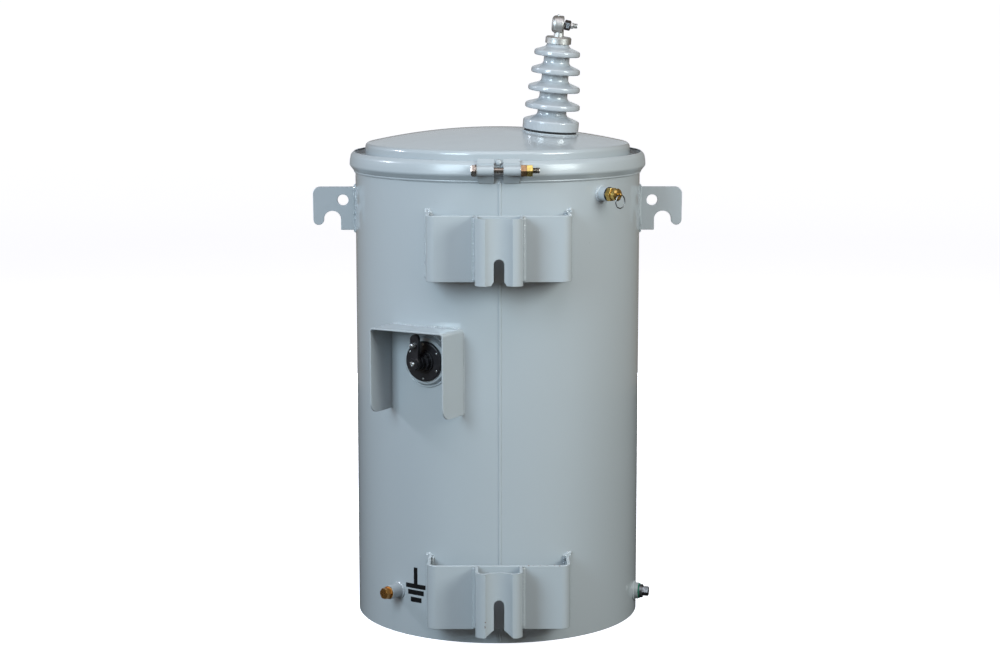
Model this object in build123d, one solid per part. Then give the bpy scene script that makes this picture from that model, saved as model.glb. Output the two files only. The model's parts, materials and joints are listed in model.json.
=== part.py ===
from build123d import *
import math
import os

# Pole mounted distribution transformer. Millimetres, +Z up. The origin is the centre of the
# tank's bottom edge. The hanger brackets, which face the pole, point along -Y.
# An azimuth is measured round the tank from -Y towards +X, in degrees.

# ---- Tank ----
tank_radius = 259.5
tank_wall = 3.0
rim_radius = 266.0
rim_bottom = 828.5
rim_top = 838.0
bottom_plate_height = 14.0
bottom_plate_thickness = 5.0

# ---- Cover ----
gasket_thickness = 4.0
gasket_inner_radius = 248.0
cover_thickness = 3.0
cover_pan_radius = 241.0
cover_shoulder_height = 867.9
cover_crown_height = 895.5
cover_shoulder_bevel = 5.0
cover_curl_height = 850.5
cover_curl_width = 4.5
cover_curl_bevel = 1.5
crown_runs = 6

# ---- Clamp band ----
band_radius = 270.0
band_sheet = 3.0
band_bottom = 815.8
band_knee = 828.8
band_top = 855.0
band_lip_radius = 260.5
band_foot_radius = 259.9
band_gap_half = 10.0

# ---- Band bolt ----
band_bolt_height = 838.5
band_bolt_distance = 282.0
band_bolt_radius = 5.3
sleeve_radius = 8.7
sleeve_near = 8.4
sleeve_far = 38.0
bolt_head_flats = 19.0
bolt_head_length = 9.2
nut_length = 10.0
bolt_end = 69.7
saddle_thickness = 2.6
saddle_lip = 3.0
stud_radius = 4.75
stud_nut_flats = 16.0
thread_gap = 0.05

# ---- Lifting lugs ----
lug_thickness = 8.0
lug_top = 787.4
lug_foot = 708.0
lug_reach = 338.0
lug_hole_x = 283.0
lug_hole_z = 763.0
lug_hole_radius = 10.0
notch_near = 287.0
notch_far = 317.6
notch_top = 743.0
lug_tip_bottom = 717.2

# ---- Hanger brackets ----
slot_spacing = 590.55
lower_slot_top = 104.05
bracket_height = 113.7
lower_bracket_foot = 38.75
upper_bracket_foot = 649.6
bow_half_width = 125.0
bow_front = 304.0
bow_plate = 6.0
bow_bend = 17.0
pad_half_width = 40.9
pad_front = 361.2
pad_ridge_x = 23.2
pad_dish = 10.0
pad_plate = 5.0
slot_width = 18.2
upper_slot_flare = (6.8, 14.0)
lower_slot_flare = (12.4, 26.7)

# ---- Tap changer and its hood ----
tap_azimuth = -28.7
tap_height = 502.5
tap_boss_radius = 41.0
tap_boss_face = 267.5
tap_disc_radius = 35.4
tap_disc_face = 273.5
tap_step_radius = 20.5
tap_step_face = 276.5
tap_collar_radius = 17.0
tap_collar_face = 284.5
tap_guide_radius = 12.5
tap_guide_face = 295.0
tap_flutes = 12
tap_spindle_radius = 6.0
running_gap = 0.08
handle_back = 297.0
handle_front = 304.5
handle_length = 51.0
handle_width = 16.0
hub_radius = 9.5
hub_face = 311.0
hub_screw_radius = 4.4
lock_screw_radius = 2.5
lock_screw_place = 33.0
hood_azimuth = -30.3
hood_width = 150.0
hood_top = 561.7
hood_foot = 410.0
hood_reach_top = 318.5
hood_reach_foot = 316.0
hood_sheet = 3.0
hood_bend = 7.0
hood_corner_round = 17.0

# ---- High voltage bushing ----
bushing_azimuth = 62.0
bushing_offset = 106.6
bushing_seat_height = 886.8
bushing_tilt = 5.5
bushing_pad_radius = 51.5
bushing_pad_top = 4.5
bushing_gasket_radius = 47.0
bushing_bore = 20.0
porcelain_foot = 8.0
porcelain_foot_radius = 50.4
porcelain_foot_height = 17.0
porcelain_length = 154.2
porcelain_top_radius = 19.6
shed_count = 4
shed_pitch = 31.6
first_shed = 42.4
first_shed_radius = 49.5
shed_shrink = 2.75
first_neck_radius = 26.1
neck_shrink = 1.0
cap_radius = 23.2
cap_height = 12.5
terminal_stem_radius = 8.4
terminal_height = 197.2
terminal_head_radius = 12.0
terminal_turn = -12.0
terminal_droop = 5.0
terminal_face = 9.4
terminal_stud_end = 31.5

# ---- Pressure relief valve ----
relief_azimuth = 44.1
relief_height = 791.0
relief_boss_radius = 12.5
relief_boss_face = 276.0
relief_washer_radius = 12.2
relief_hexagon = 22.0
relief_cap_face = 300.5
relief_eye = 303.8
relief_ring_radius = 11.6
relief_ring_wire = 1.0
relief_ring_play = 0.8
sealing_ring = 2.5

# ---- Ground and drain fittings ----
ground_azimuth = -43.4
ground_height = 79.0
ground_boss_radius = 12.6
ground_boss_face = 285.0
drain_azimuth = 76.5
drain_height = 42.0
drain_boss_radius = 15.0
drain_boss_face = 268.5

# ---- Low voltage bushings, on the side away from the pole ----
low_azimuths = (156.0, 180.0, 204.0)
low_height = 700.0
low_boss_radius = 36.0
low_boss_face = 268.0
low_bushing_face = 326.0
low_stud_end = 368.0


def outline(*corners):
    """Closed outline through (x, y) corners; a third value rounds that corner."""
    points = [corner[:2] for corner in corners]
    radii = [corner[2] if len(corner) == 3 else 0 for corner in corners]
    return make_face(FilletPolyline(*points, radius=radii, close=True))


def bevelled(*corners):
    """Closed outline through (x, y) corners; a third value bevels that corner by as much."""
    points = []
    for i, corner in enumerate(corners):
        here = Vector(*corner[:2])
        if len(corner) == 2:
            points.append(here)
            continue
        for beside in (corners[i - 1], corners[(i + 1) % len(corners)]):
            towards = (Vector(*beside[:2]) - here).normalized()
            points.append(here + towards * corner[2])
    return make_face(Polyline(*points, close=True))


def turned(*corners):
    """Body turned about Z from a bevelled outline of (radius, height) corners."""
    return revolve(Plane.XZ * bevelled(*corners), Axis.Z)


def wall_plane(azimuth, height):
    """Plane on the tank's axis whose Z runs outwards through the wall and whose Y is up."""
    a = math.radians(azimuth)
    outwards = (math.sin(a), -math.cos(a), 0)
    sideways = (math.cos(a), math.sin(a), 0)
    return Plane(origin=(0, 0, height), x_dir=sideways, z_dir=outwards)


def tank_body(radius=tank_radius):
    """Solid cylinder that everything welded to the wall is trimmed by."""
    return Pos(0, 0, 500) * Cylinder(radius, 1200)


def on_wall(shape, azimuth, height):
    return wall_plane(azimuth, height) * shape


def hexagon(flats, bottom, top):
    """Hexagonal bar along Z with chamfered corners at its top."""
    bar = Pos(0, 0, bottom) * extrude(RegularPolygon(flats / 2, 6, major_radius=False), top - bottom)
    corner = flats / math.sqrt(3)
    depth = (corner - flats / 2) * 0.6
    crown = turned((0, bottom), (corner, bottom), (corner, top - depth), (flats / 2 * 0.98, top), (0, top))
    return bar & crown


def ring(inner, outer, bottom, top):
    return turned((inner, bottom), (outer, bottom), (outer, top), (inner, top))


# ---- Tank, cover and clamp band ----

def tank_shell():
    inside = tank_radius - tank_wall
    return turned(
        (inside, 0), (tank_radius, 0, 1.2), (tank_radius, rim_bottom - 7.0, 2),
        (rim_radius, rim_bottom + 1.5, 1), (rim_radius, rim_top, 1.5), (inside, rim_top),
    )


def tank_bottom():
    inside = tank_radius - tank_wall
    top = bottom_plate_height + bottom_plate_thickness
    return turned((0, bottom_plate_height), (inside, bottom_plate_height), (inside, top), (0, top))


def dome_radius():
    """Radius of the sphere that the cover's pan is pressed to."""
    rise = cover_crown_height - cover_shoulder_height
    return (cover_pan_radius ** 2 + rise ** 2) / (2 * rise)


def crown_points(depth):
    """Points of the pan's crown from the axis out to its wall, this far under the outer skin."""
    centre = cover_crown_height - dome_radius()
    radius, edge = dome_radius() - depth, cover_pan_radius - depth
    spread = math.asin(edge / radius)
    angles = [spread * i / crown_runs for i in range(crown_runs + 1)]
    return [(radius * math.sin(a), centre + radius * math.cos(a)) for a in angles]


def tank_cover():
    """Domed pan with a flat flange whose edge is curled up under the clamp band."""
    foot = rim_top + gasket_thickness
    shelf = foot + cover_thickness
    curl_inside = rim_radius - cover_curl_width
    outer = crown_points(0)
    inner = crown_points(cover_thickness)
    return turned(
        *outer[:-1], (*outer[-1], cover_shoulder_bevel), (cover_pan_radius, shelf), (curl_inside, shelf),
        (curl_inside, cover_curl_height), (rim_radius, cover_curl_height, cover_curl_bevel),
        (rim_radius, foot), (inner[-1][0], foot), (*inner[-1], cover_shoulder_bevel - cover_thickness / 2),
        *reversed(inner[:-1]),
    )


def under_cover_skin():
    """Solid under the crown, down to the rim, that a seat on the cover is trimmed by."""
    return turned(*crown_points(0), (cover_pan_radius, rim_top), (0, rim_top))


def cover_gasket():
    return ring(gasket_inner_radius, rim_radius - 1, rim_top, rim_top + gasket_thickness)


def band_section():
    """Half section of the clamp band: a slanted leg, an upright web and a rounded upper leg."""
    run = band_radius - band_foot_radius
    rise = band_knee - band_bottom
    length = math.hypot(run, rise)
    thick_up = band_sheet * length / run
    inner = band_radius - band_sheet
    inner_knee = band_bottom + thick_up + (inner - band_foot_radius) * rise / run
    return bevelled(
        (band_foot_radius, band_bottom), (band_radius, band_knee, 3), (band_radius, band_top, 5.5),
        (band_lip_radius, band_top), (band_lip_radius, band_top - band_sheet),
        (inner, band_top - band_sheet, 3), (inner, inner_knee),
        (band_foot_radius, band_bottom + thick_up),
    )


def clamp_band():
    """The band goes once round the rim and leaves a gap at the front, where the bolt draws it in."""
    half = math.degrees(math.asin(band_gap_half / band_radius))
    section = Plane.XZ * band_section()
    band = revolve(section, Axis.Z, 360 - 2 * half)
    return Rot(0, 0, -90 + half) * band


def saddle_section():
    """Half section of a strap that lies on the outside of the whole band."""
    foot = Vector(band_foot_radius, band_bottom)
    leg = (Vector(band_radius, band_knee) - foot).normalized()
    start = foot + leg
    outer_start = start + Vector(leg.Y, -leg.X) * saddle_thickness
    outer = band_radius + saddle_thickness
    outer_knee = outer_start + leg * ((outer - outer_start.X) / leg.X)
    bevel = 5.5
    lip = band_lip_radius + saddle_lip
    crown = band_top + saddle_thickness
    return make_face(Polyline(
        start, outer_start, outer_knee, (outer, band_top - bevel + 1), (band_radius - bevel + 1, crown),
        (lip, crown), (lip, band_top), (band_radius - bevel, band_top), (band_radius, band_top - bevel),
        (band_radius, band_knee), close=True,
    ))


def band_lug(side):
    """Saddle that wraps one end of the band, with the sleeve that the bolt goes through."""
    near = math.degrees(math.asin(sleeve_near / band_bolt_distance))
    far = math.degrees(math.asin(sleeve_far / band_bolt_distance))
    wrap = revolve(Plane.XZ * saddle_section(), Axis.Z, far - near)
    wrap = Rot(0, 0, -90 + near) * wrap
    web = Pos((sleeve_near + sleeve_far) / 2, -(band_bolt_distance + band_radius) / 2, band_bolt_height)
    web = web * Box(sleeve_far - sleeve_near, band_bolt_distance - band_radius, sleeve_radius * 1.5)
    sleeve = Pos(sleeve_near, -band_bolt_distance, band_bolt_height) * Rot(0, 90, 0)
    length = sleeve_far - sleeve_near
    align = (Align.CENTER, Align.CENTER, Align.MIN)
    barrel = sleeve * Cylinder(sleeve_radius, length, align=align)
    bore = sleeve * Cylinder(band_bolt_radius + 0.5, length, align=align)
    lug = wrap + (web - tank_body(band_radius)) + barrel - bore
    return lug if side > 0 else mirror(lug, Plane.YZ)


def along_x(shape, start):
    """Lay a body that was turned about Z along +X on the band bolt's line, a corner to the front."""
    return Pos(start, -band_bolt_distance, band_bolt_height) * Rot(0, 90, 0) * Rot(0, 0, 30) * shape


def band_bolt():
    """Hexagon-headed bolt that lies through both sleeves."""
    end = sleeve_far + bolt_end
    head = hexagon(bolt_head_flats, 0, bolt_head_length)
    shank = turned((0, 0), (band_bolt_radius, 0), (band_bolt_radius, end, 1.2), (0, end))
    bolt = mirror(head, Plane.XY) + shank
    return along_x(bolt, -sleeve_far)


def band_nut(start):
    nut = hexagon(bolt_head_flats, 0, nut_length)
    bore = Cylinder(band_bolt_radius + thread_gap, 3 * nut_length)
    return along_x(nut - bore, start)


# ---- Lifting lugs ----

def lifting_lug(side):
    """Radial plate with a round eye for a shackle and a hook-shaped notch for a sling."""
    root = tank_radius - 20
    tip_near, tip_far = notch_far + 0.8, lug_reach - 0.6
    notch_round = (notch_far - notch_near) / 2 - 0.1
    tip_round = (tip_far - tip_near) / 2 - 0.1
    shape = outline(
        (root, lug_foot), (notch_near, lug_foot, 1), (notch_near, notch_top, notch_round),
        (notch_far, notch_top, notch_round), (tip_near, lug_tip_bottom, tip_round),
        (tip_far, lug_tip_bottom, tip_round), (lug_reach, lug_top, 13), (root, lug_top),
    )
    shape -= Pos(lug_hole_x, lug_hole_z) * Circle(lug_hole_radius)
    plate = extrude(Plane.XZ * shape, lug_thickness / 2, both=True)
    lug = plate - tank_body()
    return lug if side > 0 else mirror(lug, Plane.YZ)


# ---- Hanger brackets ----

def hanger_bow(foot):
    """Flat bar bent into a U, with its ends trimmed to the tank."""
    half, back = bow_half_width, -(tank_radius - 80)
    inner_half, inner_front = half - bow_plate, -(bow_front - bow_plate)
    shape = outline(
        (-half, back), (-half, -bow_front, bow_bend), (half, -bow_front, bow_bend), (half, back),
        (inner_half, back), (inner_half, inner_front, bow_bend - bow_plate),
        (-inner_half, inner_front, bow_bend - bow_plate), (-inner_half, back),
    )
    return Pos(0, 0, foot) * extrude(shape, bracket_height) - tank_body()


def pad_outline(half, ridge_x, front, dish, back):
    """Plan of the pole pad: rounded shoulders and a face dished to sit on a round pole."""
    shoulder = half - ridge_x
    left = Line((-half, -back), (-half, -(front - shoulder)))
    left_round = RadiusArc((-half, -(front - shoulder)), (-ridge_x, -front), -shoulder)
    face = ThreePointArc((-ridge_x, -front), (0, -(front - dish)), (ridge_x, -front))
    right_round = RadiusArc((ridge_x, -front), (half, -(front - shoulder)), -shoulder)
    right = Line((half, -(front - shoulder)), (half, -back))
    rear = Line((half, -back), (-half, -back))
    return make_face(left + left_round + face + right_round + right + rear)


def hanger_pad(foot, slot_top, flare):
    """Channel that bears on the pole, with a bolt slot that flares to its open lower end."""
    flare_height, flare_half = flare
    outer = pad_outline(pad_half_width, pad_ridge_x, pad_front, pad_dish, bow_front)
    hollow = offset(outer, -pad_plate) + Pos(0, -bow_front - pad_plate) * Rectangle(
        2 * (pad_half_width - pad_plate), 4 * pad_plate
    )
    channel = extrude(outer - hollow, bracket_height)
    half = slot_width / 2
    slot = outline(
        (-flare_half, -1), (flare_half, -1), (half, flare_height), (half, slot_top, half - 0.05),
        (-half, slot_top, half - 0.05), (-half, flare_height),
    )
    cutter = Pos(0, -(pad_front - 3 * pad_plate), 0) * extrude(Plane.XZ * slot, 4 * pad_plate)
    return Pos(0, 0, foot) * (channel - cutter)


# ---- Tap changer ----

def tap_hood():
    """Sheet hood folded to a top and two sides; its lower front corners are cut back and round."""
    half = hood_width / 2
    height = hood_top - hood_foot
    arch = outline((-half, 0), (-half, height, hood_bend), (half, height, hood_bend), (half, 0))
    inside_half, inside_top = half - hood_sheet, height - hood_sheet
    inside = outline(
        (-inside_half, -1), (-inside_half, inside_top, hood_bend - hood_sheet),
        (inside_half, inside_top, hood_bend - hood_sheet), (inside_half, -1),
    )
    tunnel = extrude(arch - inside, hood_reach_top + 10)
    side = outline(
        (0, -1), (hood_reach_foot, 0, hood_corner_round), (hood_reach_foot + 2, hood_corner_round),
        (hood_reach_top, height - 8), (hood_reach_top, height + 1), (0, height + 1),
    )
    across = Plane(origin=(hood_width, 0, 0), x_dir=(0, 0, 1), z_dir=(-1, 0, 0))
    trim = extrude(across * side, 2 * hood_width)
    return on_wall(tunnel & trim, hood_azimuth, hood_foot) - tank_body()


def wall_boss(radius, face, azimuth, height):
    """Round boss welded to the tank, with its back trimmed to the wall."""
    back = math.sqrt(tank_radius ** 2 - radius ** 2) - 2
    boss = turned((0, back), (radius, back), (radius, face), (0, face))
    return on_wall(boss, azimuth, height) - tank_body()


def tap_disc():
    """Moulded flange of the switch with a raised inner step and the guide that holds the spindle."""
    disc = turned(
        (0, tap_boss_face), (tap_disc_radius, tap_boss_face), (tap_disc_radius, tap_disc_face, 1.5),
        (tap_step_radius, tap_disc_face), (tap_step_radius, tap_step_face), (0, tap_step_face),
    )
    well = Pos(0, 0, tap_step_face) * Cylinder(
        tap_spindle_radius + running_gap, 8, align=(Align.CENTER, Align.CENTER, Align.MAX)
    )
    return on_wall(disc - well, tap_azimuth, tap_height)


def tap_collar():
    """Fluted nut and collar in front of the flange, bored for the spindle."""
    nut = turned(
        (0, tap_step_face), (tap_collar_radius, tap_step_face), (tap_collar_radius, tap_collar_face),
        (tap_guide_radius, tap_collar_face), (tap_guide_radius, tap_guide_face), (0, tap_guide_face),
    )
    flute_radius = 2.6
    depth = 2 * (tap_collar_face - tap_step_face)
    flute = Pos(tap_collar_radius + 1.6, 0, tap_step_face) * Cylinder(flute_radius, depth)
    flutes = [Rot(0, 0, 360 / tap_flutes * i) * flute for i in range(tap_flutes)]
    bore = Pos(0, 0, tap_collar_face) * Cylinder(tap_spindle_radius + running_gap, 40)
    return on_wall(nut - flutes - bore, tap_azimuth, tap_height)


def tap_handle():
    """Lever with a round tip, its hub and the spindle that turns the switch."""
    half = handle_width / 2
    tip = handle_length - half
    blade = bevelled((-half * 0.9, 0), (half * 0.9, 0), (half, tip), (-half, tip))
    blade += Pos(0, tip) * Circle(half)
    lever = Pos(0, 0, handle_back) * extrude(blade, handle_front - handle_back)
    shoulder = hub_radius + 1.5
    hub = turned(
        (0, handle_back - 0.5), (shoulder, handle_back - 0.5), (shoulder, handle_front + 0.5),
        (hub_radius, handle_front + 2), (hub_radius, hub_face), (0, hub_face),
    )
    spindle_foot = tap_disc_face - 3
    spindle_head = handle_front - 2
    spindle = turned((0, spindle_foot), (tap_spindle_radius, spindle_foot),
                     (tap_spindle_radius, spindle_head), (0, spindle_head))
    seat = (Align.CENTER, Align.CENTER, Align.MAX)
    recess = Pos(0, 0, hub_face) * Cylinder(hub_screw_radius + 0.2, 3, align=seat)
    screw_hole = Pos(0, lock_screw_place, handle_back) * Cylinder(lock_screw_radius + thread_gap, 60)
    handle = lever + hub + spindle - recess - screw_hole
    return on_wall(handle, tap_azimuth, tap_height)


def tap_handle_screws():
    """Round-headed screw in the hub's end and the locking screw through the lever."""
    crown = hub_face + 1.2
    hub_screw = turned((0, hub_face - 3), (hub_screw_radius, hub_face - 3), (hub_screw_radius, crown, 1.8),
                       (0, crown))
    foot, head, top = handle_back - 4, handle_front, handle_front + 4.5
    head_radius = lock_screw_radius + 2.1
    lock = turned(
        (0, foot), (lock_screw_radius, foot), (lock_screw_radius, head), (head_radius, head),
        (head_radius, top, 1.5), (0, top),
    )
    screws = Compound([hub_screw, Pos(0, lock_screw_place, 0) * lock])
    return on_wall(screws, tap_azimuth, tap_height)


# ---- High voltage bushing ----

def bushing_place():
    """Plane at the bushing's foot, with its axis leaning outwards from the tank's axis."""
    a = math.radians(bushing_azimuth)
    lean = math.radians(bushing_tilt)
    out_x, out_y = math.sin(a), -math.cos(a)
    origin = (bushing_offset * out_x, bushing_offset * out_y, bushing_seat_height)
    axis = (math.sin(lean) * out_x, math.sin(lean) * out_y, math.cos(lean))
    sideways = (math.cos(lean), 0, -math.sin(lean) * out_x)
    return Plane(origin=origin, x_dir=sideways, z_dir=axis)


def bushing_pad():
    """Painted ring that levels the seat on the domed cover."""
    pad = ring(bushing_bore, bushing_pad_radius, -12, bushing_pad_top)
    return bushing_place() * pad - under_cover_skin()


def bushing_gasket():
    return bushing_place() * ring(bushing_bore, bushing_gasket_radius, bushing_pad_top, porcelain_foot)


def bushing_porcelain():
    """Glazed insulator: a broad foot and four sheds that grow smaller upwards."""
    necks = [first_neck_radius - neck_shrink * i for i in range(shed_count)] + [porcelain_top_radius]
    foot = porcelain_foot
    rim_top = foot + porcelain_foot_height
    corners = [(0, foot), (porcelain_foot_radius, foot), (porcelain_foot_radius, rim_top, 2.5),
               (necks[0], rim_top + 8)]
    for i in range(shed_count):
        rim = first_shed_radius - shed_shrink * i
        middle = foot + first_shed + shed_pitch * i
        corners += [
            (necks[i], middle - 4.8), (rim, middle - 4.8), (rim, middle + 3.6, 2.5),
            (necks[i + 1], middle + 12),
        ]
    top = foot + porcelain_length
    return bushing_place() * turned(*corners, (porcelain_top_radius, top), (0, top))


def bushing_cap():
    bottom = porcelain_foot + porcelain_length
    top = bottom + cap_height
    return bushing_place() * turned((0, bottom), (cap_radius, bottom), (cap_radius, top, 2.5), (0, top))


def across_terminal(shape):
    """Lay a body that was turned about Z across the bushing's axis, at the terminal's height."""
    lie = Pos(0, 0, terminal_height) * Rot(0, 0, terminal_turn) * Rot(0, 90 + terminal_droop, 0)
    return lie * shape


def bushing_terminal():
    """Stem with a clamp head bored crosswise, and the stud that draws a lead into it."""
    bottom = porcelain_foot + porcelain_length + cap_height
    stem = Pos(0, 0, bottom) * Cylinder(
        terminal_stem_radius, terminal_height - bottom, align=(Align.CENTER, Align.CENTER, Align.MIN)
    )
    radius, face, end = terminal_head_radius, terminal_face, terminal_stud_end
    head = turned((0, -12.5), (radius, -12.5, 2.5), (radius, face), (0, face))
    stud = turned((0, face), (stud_radius, face), (stud_radius, end, 1.2), (0, end))
    return bushing_place() * (stem + across_terminal(head + stud))


def bushing_terminal_nut():
    nut = hexagon(stud_nut_flats, terminal_face, terminal_face + nut_length)
    nut -= Cylinder(stud_radius + thread_gap, 80)
    return bushing_place() * across_terminal(nut)


# ---- Pressure relief valve ----

def relief_washer():
    washer = ring(0, relief_washer_radius, relief_boss_face, relief_boss_face + sealing_ring)
    return on_wall(washer, relief_azimuth, relief_height)


def relief_valve():
    """Brass valve: hexagon, neck, cap and the eye that carries the pull ring."""
    start = relief_boss_face + sealing_ring
    body = hexagon(relief_hexagon, start, start + 9.5)
    neck_radius, cap_bottom, crown_radius = 9.8, 293, 10.8
    eye_radius, eye_top = 3.2, relief_eye + 3.4
    neck = turned(
        (0, start), (neck_radius, start), (neck_radius, cap_bottom), (crown_radius, cap_bottom),
        (crown_radius, relief_cap_face, 3), (eye_radius, relief_cap_face), (eye_radius, eye_top, 1.5),
        (0, eye_top),
    )
    hole = Pos(0, 0, relief_eye) * Rot(0, 90, 0) * Cylinder(relief_ring_wire + relief_ring_play, 20)
    return on_wall(body + neck - hole, relief_azimuth, relief_height)


def relief_ring():
    """Pull ring: a six-sided wire turned about its own axis."""
    section = Plane.XZ * (Pos(relief_ring_radius, 0) * RegularPolygon(relief_ring_wire, 6))
    wire = revolve(section, Axis.Z)
    return on_wall(Pos(0, -relief_ring_radius, relief_eye) * wire, relief_azimuth, relief_height)


# ---- Ground and drain fittings ----

def ground_bolt():
    seat = ground_boss_face + sealing_ring
    washer = ring(0, 11.5, ground_boss_face, seat)
    head = hexagon(18, seat, ground_boss_face + 13)
    return on_wall(washer + head, ground_azimuth, ground_height)


def drain_gasket():
    gasket = ring(0, 14, drain_boss_face, drain_boss_face + sealing_ring)
    return on_wall(gasket, drain_azimuth, drain_height)


def drain_plug():
    start = drain_boss_face + sealing_ring
    collar = ring(0, 12.5, start, start + 5)
    head = hexagon(stud_nut_flats, start + 5, start + 16)
    return on_wall(collar + head, drain_azimuth, drain_height)


# ---- Low voltage bushings ----

def at_low_places(shape):
    """The same body at each low voltage place, as one piece."""
    return Compound([on_wall(shape, azimuth, low_height) for azimuth in low_azimuths])


def low_bosses():
    bosses = [wall_boss(low_boss_radius, low_boss_face, azimuth, low_height) for azimuth in low_azimuths]
    return Compound(bosses)


def low_bushings():
    """Small insulators, each with a clamped foot and two sheds."""
    corners = [(0, low_boss_face), (31, low_boss_face), (31, 280), (22, 284)]
    for neck, rim, foot, top in ((22, 29, 290, 297), (21, 27, 308, 315)):
        corners += [(neck, foot), (rim, foot), (rim, top), (neck - 1, top + 4)]
    corners[-1] = (15, 322)
    return at_low_places(turned(*corners, (15, low_bushing_face), (0, low_bushing_face)))


def low_terminals():
    """Studs, each with a collar and a clamp plate bored for a lead."""
    face, middle = low_bushing_face, low_stud_end - 20
    stud = turned(
        (0, face), (12, face), (12, face + 5), (7.5, face + 5), (7.5, low_stud_end), (0, low_stud_end),
    )
    clamp = Pos(0, 0, middle) * Box(30, 26, 16)
    clamp = fillet(clamp.edges().filter_by(Axis.Z), 5)
    bore = Pos(11, 0, middle) * Rot(90, 0, 0) * Cylinder(4.5, 60)
    return at_low_places(stud + clamp - bore)


# ---- Inside the tank ----

def core_and_coil():
    """Wound core and coil that stand on the tank's bottom; nothing of them shows."""
    foot = bottom_plate_height + bottom_plate_thickness
    loop = outline((-150, 0, 30), (150, 0, 30), (150, 330, 30), (-150, 330, 30))
    loop -= outline((-80, 70, 8), (80, 70, 8), (80, 260, 8), (-80, 260, 8))
    core = extrude(Plane.XZ * loop, 90, both=True)
    coil = Pos(0, 0, 165) * Box(160, 300, 190)
    coil = fillet(coil.edges().filter_by(Axis.Z), 60)
    return Pos(0, 0, foot) * (core + coil)


def build():
    upper_slot_top = lower_slot_top + slot_spacing - upper_bracket_foot
    return {
        "tank_shell": tank_shell(),
        "tank_bottom": tank_bottom(),
        "tank_cover": tank_cover(),
        "cover_gasket": cover_gasket(),
        "clamp_band": clamp_band(),
        "band_lug_left": band_lug(-1),
        "band_lug_right": band_lug(1),
        "band_bolt": band_bolt(),
        "band_nut": band_nut(sleeve_far),
        "band_lock_nut": band_nut(sleeve_far + nut_length),
        "lifting_lug_left": lifting_lug(-1),
        "lifting_lug_right": lifting_lug(1),
        "upper_hanger_bow": hanger_bow(upper_bracket_foot),
        "upper_hanger_pad": hanger_pad(upper_bracket_foot, upper_slot_top, upper_slot_flare),
        "lower_hanger_bow": hanger_bow(lower_bracket_foot),
        "lower_hanger_pad": hanger_pad(
            lower_bracket_foot, lower_slot_top - lower_bracket_foot, lower_slot_flare
        ),
        "bushing_pad": bushing_pad(),
        "bushing_gasket": bushing_gasket(),
        "bushing_porcelain": bushing_porcelain(),
        "bushing_cap": bushing_cap(),
        "bushing_terminal": bushing_terminal(),
        "bushing_terminal_nut": bushing_terminal_nut(),
        "tap_hood": tap_hood(),
        "tap_boss": wall_boss(tap_boss_radius, tap_boss_face, tap_azimuth, tap_height),
        "tap_disc": tap_disc(),
        "tap_collar": tap_collar(),
        "tap_handle": tap_handle(),
        "tap_handle_screws": tap_handle_screws(),
        "relief_boss": wall_boss(relief_boss_radius, relief_boss_face, relief_azimuth, relief_height),
        "relief_washer": relief_washer(),
        "relief_valve": relief_valve(),
        "relief_ring": relief_ring(),
        "ground_boss": wall_boss(ground_boss_radius, ground_boss_face, ground_azimuth, ground_height),
        "ground_bolt": ground_bolt(),
        "drain_boss": wall_boss(drain_boss_radius, drain_boss_face, drain_azimuth, drain_height),
        "drain_gasket": drain_gasket(),
        "drain_plug": drain_plug(),
        "low_voltage_bosses": low_bosses(),
        "low_voltage_bushings": low_bushings(),
        "low_voltage_terminals": low_terminals(),
        "core_and_coil": core_and_coil(),
    }


os.makedirs("parts", exist_ok=True)
for name, shape in build().items():
    export_step(shape, f"parts/{name}.step")
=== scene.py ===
import json
import math

import bmesh
import bpy
import numpy as np
from bpy.props import FloatProperty, FloatVectorProperty, IntProperty, PointerProperty
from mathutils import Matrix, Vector

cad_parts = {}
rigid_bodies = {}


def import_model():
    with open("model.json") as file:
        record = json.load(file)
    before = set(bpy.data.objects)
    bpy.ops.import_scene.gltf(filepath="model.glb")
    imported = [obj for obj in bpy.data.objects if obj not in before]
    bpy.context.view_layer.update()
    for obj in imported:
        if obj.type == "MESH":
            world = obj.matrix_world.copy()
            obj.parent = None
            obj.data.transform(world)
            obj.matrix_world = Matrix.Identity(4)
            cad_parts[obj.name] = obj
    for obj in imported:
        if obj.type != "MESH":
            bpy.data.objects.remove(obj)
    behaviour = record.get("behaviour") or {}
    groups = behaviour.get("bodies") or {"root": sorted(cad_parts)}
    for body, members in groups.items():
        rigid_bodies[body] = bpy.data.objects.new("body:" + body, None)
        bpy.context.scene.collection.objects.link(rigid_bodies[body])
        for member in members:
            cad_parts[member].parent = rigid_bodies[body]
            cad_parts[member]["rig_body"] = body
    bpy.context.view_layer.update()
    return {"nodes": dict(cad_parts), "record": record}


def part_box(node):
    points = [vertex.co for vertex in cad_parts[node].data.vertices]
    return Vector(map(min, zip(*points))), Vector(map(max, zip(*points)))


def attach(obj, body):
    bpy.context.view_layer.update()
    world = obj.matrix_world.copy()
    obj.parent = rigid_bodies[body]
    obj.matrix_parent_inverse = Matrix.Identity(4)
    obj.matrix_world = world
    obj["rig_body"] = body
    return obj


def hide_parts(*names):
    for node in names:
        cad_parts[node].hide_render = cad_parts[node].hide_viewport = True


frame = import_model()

bl_info = {
    "name": "Pole mounted transformer looks",
    "version": (1, 0, 0),
    "blender": (4, 5, 0),
    "location": "3D View > Sidebar > Transformer",
    "description": "Finishes, weld beads, threads and fine surfaces of a pole mounted transformer",
    "category": "Object",
}

NODES = frame["nodes"]
SLOT_OF_NODE = {part["node"]: part["material_slot"] for part in frame["record"]["subparts"]}
MAIN_BODY = "transformer"
MM = 0.001
TURN = 2 * math.pi
# An edge that turns by more degrees than this is rounded, and stays sharp in the shading.
EDGE_ANGLE = 30.0
# Points nearer than this are one point, and faces that turn by fewer degrees than this are one face.
SAME_POINT, SAME_FACE = 0.001 * MM, 0.5
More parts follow.
